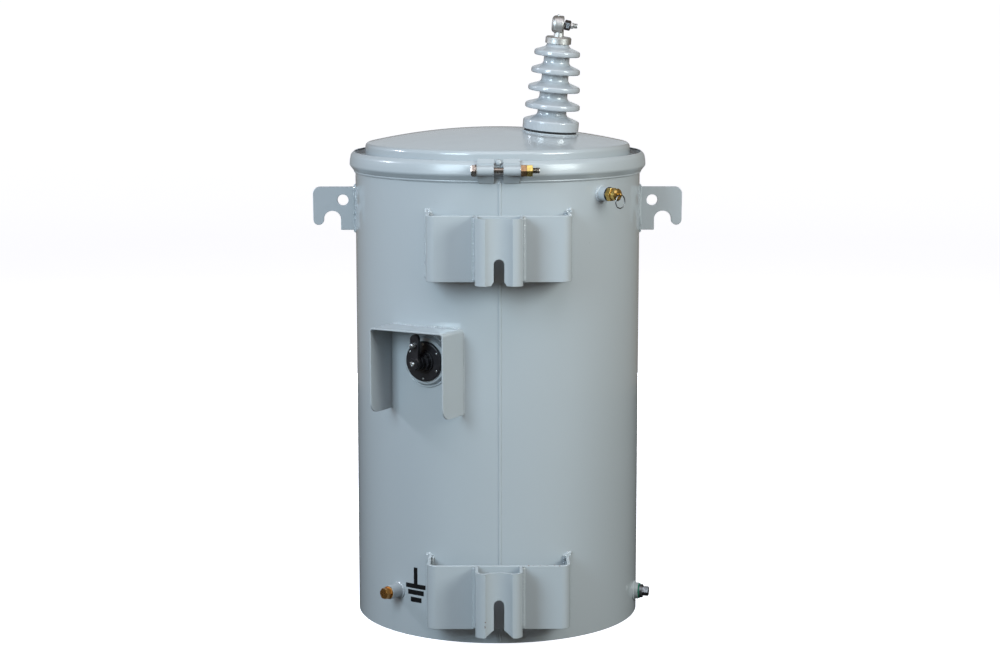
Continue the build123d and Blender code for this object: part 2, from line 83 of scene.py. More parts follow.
# A weld bead's underside is sunk in the metal by this. Its uneven stretches are about this long.
BEAD_SINK, BEAD_STRETCH = 1.5 * MM, 9 * MM
# As shares of the bead's width: how long its rounded ends are, and how far the ripples lag at its edges.
BEAD_END, RIPPLE_LAG = 0.6, 0.35
# Depth of a screw thread as a share of its pitch.
THREAD_DEPTH = 0.54


# ---- Reading the frame ----

def node_points(name):
    """All vertices of a CAD node as an array of rows."""
    vertices = NODES[name].data.vertices
    flat = np.empty(len(vertices) * 3, np.float32)
    vertices.foreach_get("co", flat)
    return flat.reshape(-1, 3).astype(float)


def middle(name):
    """Middle of a CAD node's box."""
    low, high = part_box(name)
    return np.array((low + high) / 2)


def unit(vector):
    """A vector, or each row of an array, divided by its length."""
    vector = np.asarray(vector, float)
    return vector / np.linalg.norm(vector, axis=-1, keepdims=True)


def place(origin, out, right):
    """4x4 placing matrix. Its columns are right, up and out, with up square to both."""
    out = unit(out)
    right = unit(right - np.dot(right, out) * out)
    made = np.eye(4)
    made[:3] = np.stack([right, np.cross(out, right), out, origin], 1)
    return made


UPRIGHT = place((0, 0, 0), (0, 0, 1), (1, 0, 0))


def wall_place(azimuth, height):
    """On the tank's axis at a height, with out pointing through the wall at an azimuth from -Y."""
    out = (math.sin(azimuth), -math.cos(azimuth), 0)
    return place((0, 0, height), out, (math.cos(azimuth), math.sin(azimuth), 0))


def wall_place_of(node):
    """Wall place whose out line goes through the middle of a fitting on the tank's wall."""
    x, y, z = middle(node)
    return wall_place(math.atan2(x, -y), z)


def moved(points, matrix):
    """Points given in a place, as points of the scene."""
    return points @ matrix[:3, :3].T + matrix[:3, 3]


def local_points(node, matrix):
    """A CAD node's vertices, given in a place."""
    return (node_points(node) - matrix[:3, 3]) @ matrix[:3, :3]


def measured(points):
    """Distance of each point of a place off its out line, and along it."""
    return np.hypot(points[:, 0], points[:, 1]), points[:, 2]


def reach(node, matrix):
    """Nearest and farthest distance of a node along a place's out line."""
    along = local_points(node, matrix)[:, 2]
    return along.min(), along.max()


def girth(node, matrix):
    """Greatest distance of a node off a place's out line."""
    return measured(local_points(node, matrix))[0].max()


def tank_radius():
    """Outer radius of the tank: the bottom plate's radius and the wall's thickness."""
    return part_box("tank_bottom")[1].x + settings("tank").wall


def wall_depth(across):
    """Distance of the tank's wall from a plane through its axis, at a distance across that plane: the root
    of the tank's radius squared less that distance squared."""
    return np.sqrt(tank_radius() ** 2 - np.square(across))


def on_wall(points, lift=0.0):
    """Points of a wall place, put on the tank's wall, or over it by a lift, at their own right and up."""
    return np.stack([points[..., 0], points[..., 1], wall_depth(points[..., 0]) + lift], -1)


# ---- Settings ----

def linear(colour):
    """sRGB hex colour as linear red, green and blue."""
    parts = [int(colour[i:i + 2], 16) / 255 for i in (1, 3, 5)]
    return tuple(c / 12.92 if c <= 0.04045 else ((c + 0.055) / 1.055) ** 2.4 for c in parts)


def length(name, description, default_mm):
    return FloatProperty(
        name=name, description=description, default=default_mm * MM, unit="LENGTH", min=0.0,
    )


def colour(name, description, default):
    return FloatVectorProperty(
        name=name, description=description, default=linear(default), subtype="COLOR",
        size=3, min=0.0, max=1.0,
    )


def number(name, description, default):
    return IntProperty(name=name, description=description, default=default, min=1)


class TRANSFORMER_PG_tank(bpy.types.PropertyGroup):
    wall: length("Wall", "Thickness of the tank's wall", 3.0)
    flare: length("Rim flare height", "Height over which the wall widens to its rim", 8.0)
    pan_radius: length("Pan radius", "Radius of the cover's raised pan", 241.0)
    shoulder_drop: length("Shoulder drop", "Height from the crown down to the pan's shoulder", 27.6)
    shoulder_round: length("Shoulder round", "Radius of the pan's pressed shoulder", 8.0)
    sheet: length("Sheet", "Thickness of the cover and of the clamp band", 3.0)
    curl: length("Cover curl", "Width of the curled edge of the cover", 4.5)
    knee: length("Band knee", "Height of the band's slanted lower leg", 13.0)


class TRANSFORMER_PG_hood(bpy.types.PropertyGroup):
    sheet: length("Sheet", "Thickness of the tap changer's hood", 3.0)
    bend: length("Bend", "Outer radius of the hood's two folds", 7.0)
    corner: length("Corner", "Radius of the sides' lower front corners", 21.0)


class TRANSFORMER_PG_welds(bpy.types.PropertyGroup):
    width: length("Bead width", "Width of a fillet weld bead", 7.0)
    height: length("Bead height", "Height of a fillet weld bead", 4.0)
    ripple: length("Ripple pitch", "Distance between the ripples of a bead", 2.4)
    boss_width: length("Boss bead width", "Width of the bead round a boss", 5.5)
    boss_height: length("Boss bead height", "Height of the bead round a boss", 2.8)
    seam_width: length("Seam width", "Width of the tank's upright seam", 6.0)
    seam_height: length("Seam height", "Height of the tank's upright seam", 1.5)
    spatter: length("Spatter size", "Largest radius of a drop of weld spatter", 1.1)


class TRANSFORMER_PG_fittings(bpy.types.PropertyGroup):
    bolt_pitch: length("Band bolt pitch", "Thread pitch of the clamp band's bolt", 1.5)
    stud_pitch: length("Stud pitch", "Thread pitch of the bushing's stud", 1.6)
    sheds: number("Sheds", "Number of sheds on the bushing", 4)
    first_shed: length("First shed", "Height of the lowest shed above the porcelain's foot", 42.4)
    shed_pitch: length("Shed pitch", "Distance between two sheds of the bushing", 31.6)
    foot_height: length("Foot height", "Height of the porcelain's broad foot", 17.0)
    stub: length("Gap stub", "Radius of the round stub in the clamp band's gap", 5.6)
    boss_toe: length("Boss toe", "Radius at the foot of the tap changer's boss", 47.5)
    rim_screws: number("Rim screws", "Screws round the tap changer", 6)
    ring_wire: length("Ring wire", "Thickness of the pull ring's wire", 2.0)
    low_spacing: FloatProperty(
        name="Low voltage spacing", description="Angle between two low voltage bushings",
        default=math.radians(24), subtype="ANGLE",
    )


class TRANSFORMER_PG_finishes(bpy.types.PropertyGroup):
    tank_paint: colour("Tank paint", "Enamel on the tank and brackets", "#ACB3B8")
    porcelain: colour("Porcelain", "Glaze of the bushings", "#B0B6BC")
    rubber: colour("Rubber", "Black nitrile gaskets", "#1B1B1D")
    green_rubber: colour("Green rubber", "Gasket of the drain plug", "#1F6B57")
    brass: colour("Brass", "Relief valve", "#DDB96C")
    bronze: colour("Bronze", "Ground bolt", "#D69C56")
    pale_bronze: colour("Pale bronze", "Inner nut of the band bolt", "#A98A68")
    yellow_zinc: colour("Yellow zinc", "Outer nut of the band bolt", "#DEC878")
    zinc: colour("Zinc", "Small screws", "#B9BBBD")
    bolt_steel: colour("Bolt steel", "Band bolt", "#A39B93")
    dark_steel: colour("Dark steel", "Drain plug, pull ring and the bushing's nut", "#85878A")
    tin: colour("Tinned alloy", "Caps and terminals of the bushings", "#CACAC9")
    plastic: colour("Switch plastic", "Tap changer", "#18171B")
    stencil: colour("Stencil paint", "Earth sign", "#08080A")
    primer: colour("Primer", "Bottom of the chips in the paint", "#6B5548")
    floor: colour("Floor", "Studio floor", "#F0F2F8")
    cloth: colour("Cloth", "Cloth round the object's foot", "#2A2724")


def settings(kind):
    return getattr(bpy.context.scene, "transformer_" + kind)


# ---- Making pieces from arrays ----

def grid_quads(rows, columns):
    """Quads between neighbouring points of a grid that is closed along its columns."""
    i = np.arange(rows - 1)[:, None] * columns
    j = np.arange(columns)[None, :]
    k = (j + 1) % columns
    return np.stack([i + j, i + k, i + columns + k, i + columns + j], -1).reshape(-1, 4)


def outward(points, quads):
    """The quads turned so that the volume they enclose, summed as tetrahedra, is positive."""
    a, b, c, d = (points[quads[:, i]] for i in range(4))
    volume = (a * np.cross(b, c)).sum() + (a * np.cross(c, d)).sum()
    return quads if volume > 0 else quads[:, ::-1]


def closed_ends(grid):
    """The grid with a last ring at each end, shrunk to the middle of that end."""
    ends = np.repeat(grid[[0, -1]].mean(axis=1, keepdims=True), grid.shape[1], axis=1)
    return np.concatenate([ends[:1], grid, ends[1:]])


def merged(source, mesh, join_flat=False):
    """Copy a mesh into another with points that fall together merged and, if asked, flat faces joined."""
    work = bmesh.new()
    work.from_mesh(source)
    bmesh.ops.remove_doubles(work, verts=work.verts, dist=SAME_POINT)
    if join_flat:
        flat = math.radians(SAME_FACE)
        bmesh.ops.dissolve_limit(work, angle_limit=flat, verts=work.verts, edges=work.edges)
    work.to_mesh(mesh)
    work.free()
    return mesh


def mesh_from_grids(name, grids):
    """One mesh from closed tubes, each an array of rings."""
    points, quads, start = [], [], 0
    for grid in grids:
        points.append(grid.reshape(-1, 3))
        quads.append(outward(points[-1], grid_quads(*grid.shape[:2])) + start)
        start += len(points[-1])
    points, quads = np.concatenate(points), np.concatenate(quads)
    mesh = bpy.data.meshes.new(name)
    mesh.vertices.add(len(points))
    mesh.vertices.foreach_set("co", points.astype(np.float32).ravel())
    mesh.loops.add(quads.size)
    mesh.loops.foreach_set("vertex_index", quads.astype(np.int32).ravel())
    mesh.polygons.add(len(quads))
    mesh.polygons.foreach_set("loop_start", np.arange(0, quads.size, 4, dtype=np.int32))
    mesh.update(calc_edges=True)
    return merged(mesh, mesh)


def linked(name, data):
    """A new object in the scene."""
    made = bpy.data.objects.new(name, data)
    bpy.context.scene.collection.objects.link(made)
    return made


def shown(mesh, slot, node=None, sharp=35.0, finish_name=None):
    """Object from a finished mesh: smooth up to an angle in degrees, with its finish. It rides on the body of
    the CAD node that it replaces, or else on the main body."""
    mesh.shade_smooth()
    mesh.set_sharp_from_angle(angle=math.radians(sharp))
    mesh.materials.append(finish(finish_name or slot))
    piece = linked(mesh.name, mesh)
    piece.modifiers.new("weighted normals", "WEIGHTED_NORMAL").keep_sharp = True
    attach(piece, NODES[node]["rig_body"] if node else MAIN_BODY)
    if node:
        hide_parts(node)
    return piece


def add_piece(name, grids, slot="tank_paint", **options):
    """Piece made from grids, with the options of shown."""
    return shown(mesh_from_grids(name, grids), slot, **options)


def add_weld(name, grids):
    """Painted weld: its ripples stay smooth up to a steep angle."""
    return add_piece(name, grids, sharp=60)


def soften(node, width_mm, finish_name=None):
    """A CAD node's surface with its flat faces joined and its sharp edges rounded by a small radius."""
    mesh = merged(NODES[node].data, bpy.data.meshes.new(node + "_surface"), join_flat=True)
    if "custom_normal" in mesh.attributes:
        mesh.attributes.remove(mesh.attributes["custom_normal"])
    piece = shown(mesh, SLOT_OF_NODE[node], node, EDGE_ANGLE, finish_name)
    if width_mm:
        bevel = piece.modifiers.new("edges", "BEVEL")
        bevel.width = width_mm * MM
        bevel.segments = 2
        bevel.limit_method = "ANGLE"
        bevel.angle_limit = math.radians(EDGE_ANGLE)
        bevel.miter_outer = "MITER_ARC"
        piece.modifiers.move(len(piece.modifiers) - 1, 0)


def soften_all(**widths_mm):
    """Soften several CAD nodes, each by its own radius."""
    for node, width_mm in widths_mm.items():
        soften(node, width_mm)


# ---- Shapes ----

def axial(radius, angle, along):
    """Points at a radius and an angle about a place's out line, and at a distance along it."""
    x, y = radius * np.cos(angle), radius * np.sin(angle)
    return np.stack([x, y, np.broadcast_to(along, x.shape)], -1)


def around(count):
    """Angles of equal steps round a whole turn."""
    return np.linspace(0, TURN, count, endpoint=False)


def rounded(corners, closed=False, step=9.0):
    """Outline through (across, along) corners. A third value rounds a corner by a radius in millimetres: the
    arc's centre lies on the corner's bisector at radius / sin(half the inner angle), and a point is held
    just past each end of the arc. Step is the greatest angle between the arc's points, in degrees."""
    here = [np.array(corner[:2], float) for corner in corners]
    count = len(corners)
    points = []
    for i, corner in enumerate(corners):
        if len(corner) == 2 or (not closed and i in (0, count - 1)):
            points.append(here[i][None])
            continue
        before, after = here[i - 1] - here[i], here[(i + 1) % count] - here[i]
        room = min(np.linalg.norm(before), np.linalg.norm(after))
        before, after = unit(before), unit(after)
        half = math.acos(np.clip(before @ after, -1, 1)) / 2
        radius = corner[2] * MM
        touch = radius / math.tan(half)
        centre = here[i] + unit(before + after) * radius / math.sin(half)
        arm, other = here[i] + before * touch - centre, here[i] + after * touch - centre
        turn = math.pi - 2 * half
        side = math.copysign(1, arm[0] * other[1] - arm[1] * other[0])
        angle = side * np.linspace(0, turn, max(3, math.ceil(math.degrees(turn) / step) + 1))
        arc = complex(*arm) * np.exp(1j * angle)
        hold = touch + min(touch / 4, max(room - touch, 0) / 5)
        points += [
            (here[i] + before * hold)[None], centre + np.stack([arc.real, arc.imag], -1),
            (here[i] + after * hold)[None],
        ]
    return np.concatenate(points)


def revolved(profile, matrix, segments=96, start=0.0):
    """Surface of revolution: each (radius, along) point goes round the place's out line."""
    return moved(axial(profile[:, :1], start + around(segments), profile[:, 1:]), matrix)


def turned(corners, matrix, segments=96, step=9.0, start=0.0):
    """Surface of revolution of a rounded outline."""
    return revolved(rounded(corners, step=step), matrix, segments, start)


def wire_ring(path, radius, sides=12):
    """Round wire: circles of one radius in planes square to a closed path that isn't level."""
    tangent = unit(np.roll(path, -1, 0) - np.roll(path, 1, 0))
    across = unit(np.cross(tangent, (1, 0, 0)))[:, None]
    upward = np.cross(across, tangent[:, None])
    circle = axial(radius, around(sides), 0.0)
    rings = path[:, None] + circle[:, :1] * across + circle[:, 1:2] * upward
    return np.concatenate([rings, rings[:1]])


def wander(count, size, seed, waves=5):
    """Smooth random line: a sum of sines whose phases and heights are drawn from the seed."""
    draw = np.random.default_rng(seed)
    t = np.linspace(0, 1, count)[:, None]
    rate = np.arange(1, waves + 1)
    total = np.sin(TURN * (t * rate + draw.random(waves))) * draw.normal(size=waves) / rate ** 0.5
    return total.sum(axis=1) * size / waves ** 0.5


def bead(path, normal, width, height, seed, arc=11, ripple=None, knobs=0.12):
    """Weld bead along a path. Across it, the top is a half ellipse of the bead's width and height, and the
    underside is sunk in the metal. Ripples are a sine along the path that lags at the bead's edges; knobs is
    their share of the height, which wanders along the bead. Both ends close like a quarter circle, and a
    path that ends where it starts gives a ring, with a whole number of ripples."""
    pitch = ripple or settings("welds").ripple
    ring = np.allclose(path[0], path[-1])
    count = len(path)
    along = np.concatenate([[0], np.cumsum(np.linalg.norm(np.diff(path, axis=0), axis=1))])
    tangent = np.gradient(path, axis=0)
    if ring:
        tangent[[0, -1]] = path[1] - path[-2]
        pitch = along[-1] / round(along[-1] / pitch)
    normal = np.broadcast_to(normal, path.shape)
    side = unit(np.cross(unit(tangent), normal))
    end = np.minimum(along, along[-1] - along) / (BEAD_END * width)
    taper = np.sqrt(np.clip(1 - (1 - np.clip(end, 0, 1)) ** 2, 1 if ring else 0.02, 1))[:, None]
    waves = max(5, int(along[-1] / BEAD_STRETCH))
    # How far the half width, the height, the ripples' share and their phase wander along the bead.
    loose = (width * 0.07, height * 0.09, 0.7, pitch * 0.6)
    half, tall, share, drift = (
        wander(count, size, seed + i, waves)[:, None] for i, size in enumerate(loose)
    )
    half, tall, share = (width / 2 + half) * taper, (height + tall) * taper, knobs * (1 + share)
    angle = np.linspace(0, math.pi, arc)
    lag = RIPPLE_LAG * width * (1 - np.abs(np.cos(angle)))
    wave = np.sin(TURN * (along[:, None] + drift + lag) / pitch)
    across = np.concatenate([half * np.cos(angle), -half, half], 1)
    up = np.concatenate([tall * np.sin(angle) * (1 + share * wave), np.full((count, 2), -BEAD_SINK)], 1)
    rings = path[:, None] + across[..., None] * side[:, None] + up[..., None] * normal[:, None]
    if ring:
        rings = rings[:-1].swapaxes(0, 1)
        return np.concatenate([rings, rings[:1]])
    return closed_ends(rings)


def fillet(path, normal, seed, wide=1.0, tall=1.0, **options):
    """Bead of the usual fillet weld, or of a share of its width and height."""
    sizes = settings("welds")
    return bead(path, unit(normal), sizes.width * wide, sizes.height * tall, seed, **options)


def straight(start, end, step_mm=0.5):
    """Straight path in equal steps."""
    count = max(8, int(np.linalg.norm(np.subtract(end, start)) / (step_mm * MM)))
    return np.linspace(start, end, count)


def boss_bead(node, seed):
    """Bead round a boss. It follows the curve where the boss meets the tank's wall, and it faces half
    outwards and half away from the boss."""
    sizes = settings("welds")
    spot = wall_place_of(node)
    radius = girth(node, spot)
    angle = np.linspace(0, TURN, max(48, int(TURN * radius / (0.5 * MM))))
    path = moved(on_wall(axial(radius, angle, 0.0)), spot)
    facing = unit(axial(1.0, angle, 1.0)) @ spot[:3, :3].T
    return bead(path, facing, sizes.boss_width, sizes.boss_height, seed, knobs=0.08)


def drops(centres, radii, seed, sides=10, rings=6, dent=0.12):
    """Drops of metal: one ball, copied to every centre and scaled by its radius in one array. Each ball is
    dented by a product of sines in its latitude and longitude, with phases drawn from the seed."""
    draw = np.random.default_rng(seed)
    lat = np.linspace(-math.pi / 2, math.pi / 2, rings + 1)[:, None]
    lon = around(sides)[None]
    ball = axial(np.cos(lat), lon, np.sin(lat))
    phase = draw.random((2, len(radii), 1, 1)) * TURN
    size = 1 + dent * np.sin(3 * lat + phase[0]) * np.sin(2 * lon + phase[1]) * np.cos(lat)
    return list(centres[:, None, None] + radii[:, None, None, None] * size[..., None] * ball)


def threaded(radius, pitch, start, end, matrix, sides=40, steps=8):
    """Screw thread: the radius falls by a rounded triangle wave of height over pitch less turn. The wave
    dies away over the last turn at each end."""
    along = np.linspace(start, end, int((end - start) / pitch * steps))[:, None]
    angle = around(sides)
    depth = THREAD_DEPTH * pitch
    wave = np.abs(((along / pitch - angle / TURN) % 1) * 2 - 1)
    shape = radius - depth * np.clip(wave * 1.25 - 0.12, 0, 1)
    nearest = np.minimum(along - start, end - along)
    shape = np.minimum(shape, radius - depth * np.clip(1 - nearest / pitch, 0, 1))
    return closed_ends(moved(axial(shape, angle, along), matrix))


# ---- Finishes ----

def node(tree, kind, values=None, links=None, give=0, **options):
    """Add a shader node with its options, socket values and links. Give one of its outputs."""
    made = tree.nodes.new("ShaderNode" + kind)
    for key, value in options.items():
        setattr(made, key, value)
    for socket, value in (values or {}).items():
        made.inputs[socket].default_value = value
    for socket, source in (links or {}).items():
        tree.links.new(source, made.inputs[socket])
    return None if give is None else made.outputs[give]


# What a mix node needs to mix colours, and its sockets for the factor and the two colours.
OF_COLOURS = {"data_type": "RGBA", "give": 2}
FACTOR, FIRST, SECOND = 0, 6, 7


def per_mm(size):
    """Pattern scale, in features per metre, for features of a size in millimetres."""
    return 1000.0 / size


def tone(base, factor):
    """A linear colour made lighter or darker, with full alpha."""
    return (*(min(1.0, c * factor) for c in base), 1.0)


def enamel(tree, where, base, coat_weight=0.45, coat_rough=0.035, rough_from=0.2):
    """Enamel on rolled steel plate. It flows to a fine orange peel, the plate under it is not quite flat, so
    soft reflections wobble, and a little dust sticks in the coat."""
    cloud = node(tree, "TexNoise", {"Scale": per_mm(150), "Detail": 3.0}, {"Vector": where})
    first, second = tone(base, 0.985), tone(base, 1.015)
    coat = node(tree, "Mix", {FIRST: first, SECOND: second}, {FACTOR: cloud}, **OF_COLOURS)
    speck = node(tree, "TexNoise", {"Scale": per_mm(2.4), "Detail": 1.0}, {"Vector": where})
    dust = node(tree, "MapRange", {"From Min": 0.74, "From Max": 0.8, "To Max": 0.2}, {"Value": speck})
    coat = node(tree, "Mix", {SECOND: tone(base, 0.7)}, {FACTOR: dust, FIRST: coat}, **OF_COLOURS)
    sheen = node(tree, "TexNoise", {"Scale": per_mm(40), "Detail": 2.0}, {"Vector": where})
    polish = {"From Min": 0.3, "From Max": 0.7, "To Min": rough_from, "To Max": rough_from + 0.07}
    rough = node(tree, "MapRange", polish, {"Value": sheen})
    plate = node(tree, "TexNoise", {"Scale": per_mm(90), "Detail": 1.0}, {"Vector": where})
    plate = node(tree, "Bump", {"Distance": 0.12 * MM}, {"Height": plate})
    peel = node(tree, "TexNoise", {"Scale": per_mm(5), "Detail": 1.0}, {"Vector": where})
    peel = node(tree, "Bump", {"Distance": 0.008 * MM}, {"Height": peel, "Normal": plate})
    return node(
        tree, "BsdfPrincipled", {"Coat Weight": coat_weight, "Coat Roughness": coat_rough},
        {"Base Color": coat, "Roughness": rough, "Normal": peel},
    )


def mottled(tree, where, base, patch, tones, rough, grain, relief, limits=None, **shader):
    """Surface whose patches, drawn by one noise, change its tone and its roughness, over a grain in relief,
    drawn by another. Limits, where given, are the values of the first noise at which a patch starts and is
    full."""
    patch = node(tree, "TexNoise", patch, {"Vector": where})
    if limits:
        patch = node(tree, "MapRange", {"From Min": limits[0], "From Max": limits[1]}, {"Value": patch})
    first, second = (tone(base, share) for share in tones)
    colour = node(tree, "Mix", {FIRST: first, SECOND: second}, {FACTOR: patch}, **OF_COLOURS)
    polish = node(tree, "MapRange", {"To Min": rough[0], "To Max": rough[1]}, {"Value": patch})
    bumps = node(tree, "TexNoise", grain, {"Vector": where})
    bumps = node(tree, "Bump", {"Distance": relief * MM}, {"Height": bumps})
    return node(tree, "BsdfPrincipled", shader, {"Base Color": colour, "Roughness": polish, "Normal": bumps})


def matt(tree, where, base):
    """Rubber cut from sheet, and what is as matt: finely grained, with a pale bloom in patches."""
    bloom, grain = {"Scale": per_mm(8), "Detail": 3.0}, {"Scale": per_mm(1.2), "Detail": 3.0}
    return mottled(tree, where, base, bloom, (0.7, 1.5), (0.5, 0.8), grain, 0.03)


def metal(tree, where, base, rough, dulled, marks=1.4):
    """Cut or rolled metal: bright, under a film that dulls and darkens it in patches. The tool marks are
    drawn coarser than real ones, so that they show."""
    film = {"Scale": per_mm(5), "Detail": 3.0, "Roughness": 0.6}
    cut = {"Scale": per_mm(marks), "Detail": 2.0}
    tones, rough = (1.0, dulled), (rough, rough + 0.16)
    return mottled(tree, where, base, film, tones, rough, cut, 0.02, (0.38, 0.66), Metallic=1.0)


def satin_black(tree, where, base, rough=(0.24, 0.42), grain=1.6, shine=0.5):
    """Near black and satin, with a slightly greyer mottle where it has been handled."""
    handled, skin = {"Scale": per_mm(5), "Detail": 4.0}, {"Scale": per_mm(grain), "Detail": 2.0}
    shine = {"Specular IOR Level": shine}
    return mottled(tree, where, base, handled, (0.7, 1.7), rough, skin, 0.03, **shine)


def glaze(tree, where, base):
    """Glaze fired over turned clay: a deep clear gloss, faint waves of the turning, colour that pools."""
    pool = node(tree, "TexNoise", {"Scale": per_mm(35), "Detail": 2.0}, {"Vector": where})
    first, second = tone(base, 0.94), tone(base, 1.05)
    body = node(tree, "Mix", {FIRST: first, SECOND: second}, {FACTOR: pool}, **OF_COLOURS)
    film = node(tree, "TexNoise", {"Scale": per_mm(9), "Detail": 2.0}, {"Vector": where})
    rough = node(tree, "MapRange", {"To Min": 0.12, "To Max": 0.22}, {"Value": film})
    waves = node(tree, "Bump", {"Distance": 0.04 * MM}, {"Height": film})
    return node(
        tree, "BsdfPrincipled", {"IOR": 1.55, "Coat Weight": 1.0, "Coat Roughness": 0.03},
        {"Base Color": body, "Roughness": rough, "Normal": waves},
    )


def emulsion(tree, where, base):
    """Matt emulsion, lit by lamps of its own, so that it looks evenly pale."""
    roll = node(tree, "TexNoise", {"Scale": per_mm(400), "Detail": 2.0}, {"Vector": where})
    pale, full = tone(base, 0.96), tone(base, 1.0)
    coat = node(tree, "Mix", {FIRST: pale, SECOND: full}, {FACTOR: roll}, **OF_COLOURS)
    lit = {"Roughness": 0.8, "Emission Color": full, "Emission Strength": 0.92}
    return node(tree, "BsdfPrincipled", lit, {"Base Color": coat})


# For each slot or finish, the material's name, the function that makes it, the setting that holds its
# colour, and its options. Each comment says what the material gives the eye.
FINISHES = {
    # Baked on the tank: a thin clear gloss over a fine orange peel.
    "tank_paint": ("baked_enamel", enamel, "tank_paint", {}),
    # The same, sprayed on the clamp band and dried in air: duller, so highlights blur at their edges.
    "band_paint": (
        "sprayed_enamel", enamel, "tank_paint",
        {"coat_weight": 0.25, "coat_rough": 0.14, "rough_from": 0.3},
    ),
    # A deep wet gloss on a pale blue grey.
    "porcelain_glaze": ("glazed_porcelain", glaze, "porcelain", {}),
    # Matt and faintly grey.
    "nitrile_gasket": ("nitrile_rubber", matt, "rubber", {}),
    # A moulded ring, matt and deep green.
    "green_gasket": ("green_rubber", matt, "green_rubber", {}),
    # A yellow gloss, browner where it has been handled.
    "brass": ("turned_brass", metal, "brass", {"rough": 0.2, "dulled": 0.78}),
    # Silicon bronze, redder than brass and more tarnished.
    "bronze": ("turned_bronze", metal, "bronze", {"rough": 0.24, "dulled": 0.65}),
    # The same, wiped clean: paler and pinker than the tarnished bolt.
    "worn_bronze": ("worn_bronze", metal, "pale_bronze", {"rough": 0.2, "dulled": 0.75}),
    # Zinc plated and handled with oil: warmer and duller than new.
    "bolt_steel": ("oiled_bolt_steel", metal, "bolt_steel", {"rough": 0.22, "dulled": 0.7}),
    # Passivated in chromate: pale yellow and bright.
    "yellow_zinc": ("yellow_zinc_plate", metal, "yellow_zinc", {"rough": 0.16, "dulled": 0.8}),
    # Clear passivated: blue white and bright.
    "zinc_steel": ("bright_zinc_plate", metal, "zinc", {"rough": 0.22, "dulled": 0.7}),
    # Plain machined steel: grey, with dark patches of oil.
    "dark_steel": ("oiled_steel", metal, "dark_steel", {"rough": 0.26, "dulled": 0.65}),
    "core_steel": ("oiled_steel", metal, "dark_steel", {"rough": 0.26, "dulled": 0.65}),
    # Cast alloy dipped in tin: silvery and soft, with a skin of casting grain that breaks up reflections.
    "tinned_alloy": ("tinned_casting", metal, "tin", {"rough": 0.42, "dulled": 0.85, "marks": 2.2}),
    # Pressed in a hot mould: near black and satin.
    "switch_plastic": ("moulded_phenolic", satin_black, "plastic", {}),
    # Dabbed through a stencil: a flat black that is a little thin in places.
    "stencil": (
        "stencilled_enamel", satin_black, "stencil", {"rough": (0.45, 0.65), "grain": 4.0, "shine": 0.2},
    ),
    # Iron oxide primer and rust at the bottom of a chip: matt, brown, mottled.
    "primer": ("chipped_primer", matt, "primer", {}),
    # The floor and wall: an even paleness without edges.
    "floor": ("studio_paint", emulsion, "floor", {}),
    # Black velvet: it swallows light, and its nap makes it faintly mottled.
    "cloth": ("studio_cloth", matt, "cloth", {}),
}


def finish(name):
    """The material of a slot or finish, made the first time it is asked for."""
    title, make, base, options = FINISHES[name]
    material = bpy.data.materials.get(title)
    if material is None:
        material = bpy.data.materials.new(title)
        material.use_nodes = True
        tree = material.node_tree
        tree.nodes.clear()
        where = node(tree, "TexCoord", give="Object")
        surface = make(tree, where, getattr(settings("finishes"), base), **options)
        node(tree, "OutputMaterial", links={"Surface": surface}, give=None)
    return material


# ---- The pieces ----

def tank_seam(radius):
    """The seam runs the whole height, just beside the brackets' middle line."""
    welds = settings("welds")
    out = wall_place(math.radians(0.45), 0)[:3, 2]
    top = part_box("clamp_band")[0].z + 2 * MM
    path = straight(out * radius + (0, 0, 1 * MM), out * radius + (0, 0, top), 0.8)
    add_weld("tank_seam_weld", [
        bead(path, out, welds.seam_width, welds.seam_height, seed=3, arc=13, knobs=0.05),
    ])


class TRANSFORMER_OT_tank(bpy.types.Operator):
    """Tank wall with its flared rim, and the upright seam weld"""

    bl_idname = "transformer.tank"
    bl_label = "Tank"

    def execute(self, context):
        sizes = settings("tank")
        radius, rim = tank_radius(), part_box("tank_shell")[1]
        inside = radius - sizes.wall
        rim_height = 8 * MM
        rim_foot = rim.z - rim_height
        wall = turned([
            (inside, 0), (radius, 0, 1.2), (radius, rim_foot - sizes.flare, 4), (rim.x, rim_foot, 3),
            (rim.x, rim.z, 1.5), (inside, rim.z), (inside, 0),
        ], UPRIGHT, 360)
        add_piece("tank_wall", [wall], node="tank_shell")
        tank_seam(radius)
        return {"FINISHED"}


def pressed_pan(radius, crown, shoulder):
    """Pressed pan from the axis outwards: an arc of the radius (r*r + d*d) / 2d that falls by the drop
    d at the pan's radius r, then a shoulder arc that touches both it and the upright wall."""
    drop = settings("tank").shoulder_drop
    ball = (radius ** 2 + drop ** 2) / (2 * drop)
    centre = radius - shoulder
    rise = math.sqrt((ball - shoulder) ** 2 - centre ** 2)
    meet = math.atan2(centre, rise)
    dome, turn = np.linspace(0, meet, 46), np.linspace(meet, math.pi / 2, 12)[1:]
    across = np.concatenate([ball * np.sin(dome), centre + shoulder * np.sin(turn)])
    height = np.concatenate([ball * np.cos(dome), rise + shoulder * np.cos(turn)])
    return np.stack([across, height + crown - ball], -1)


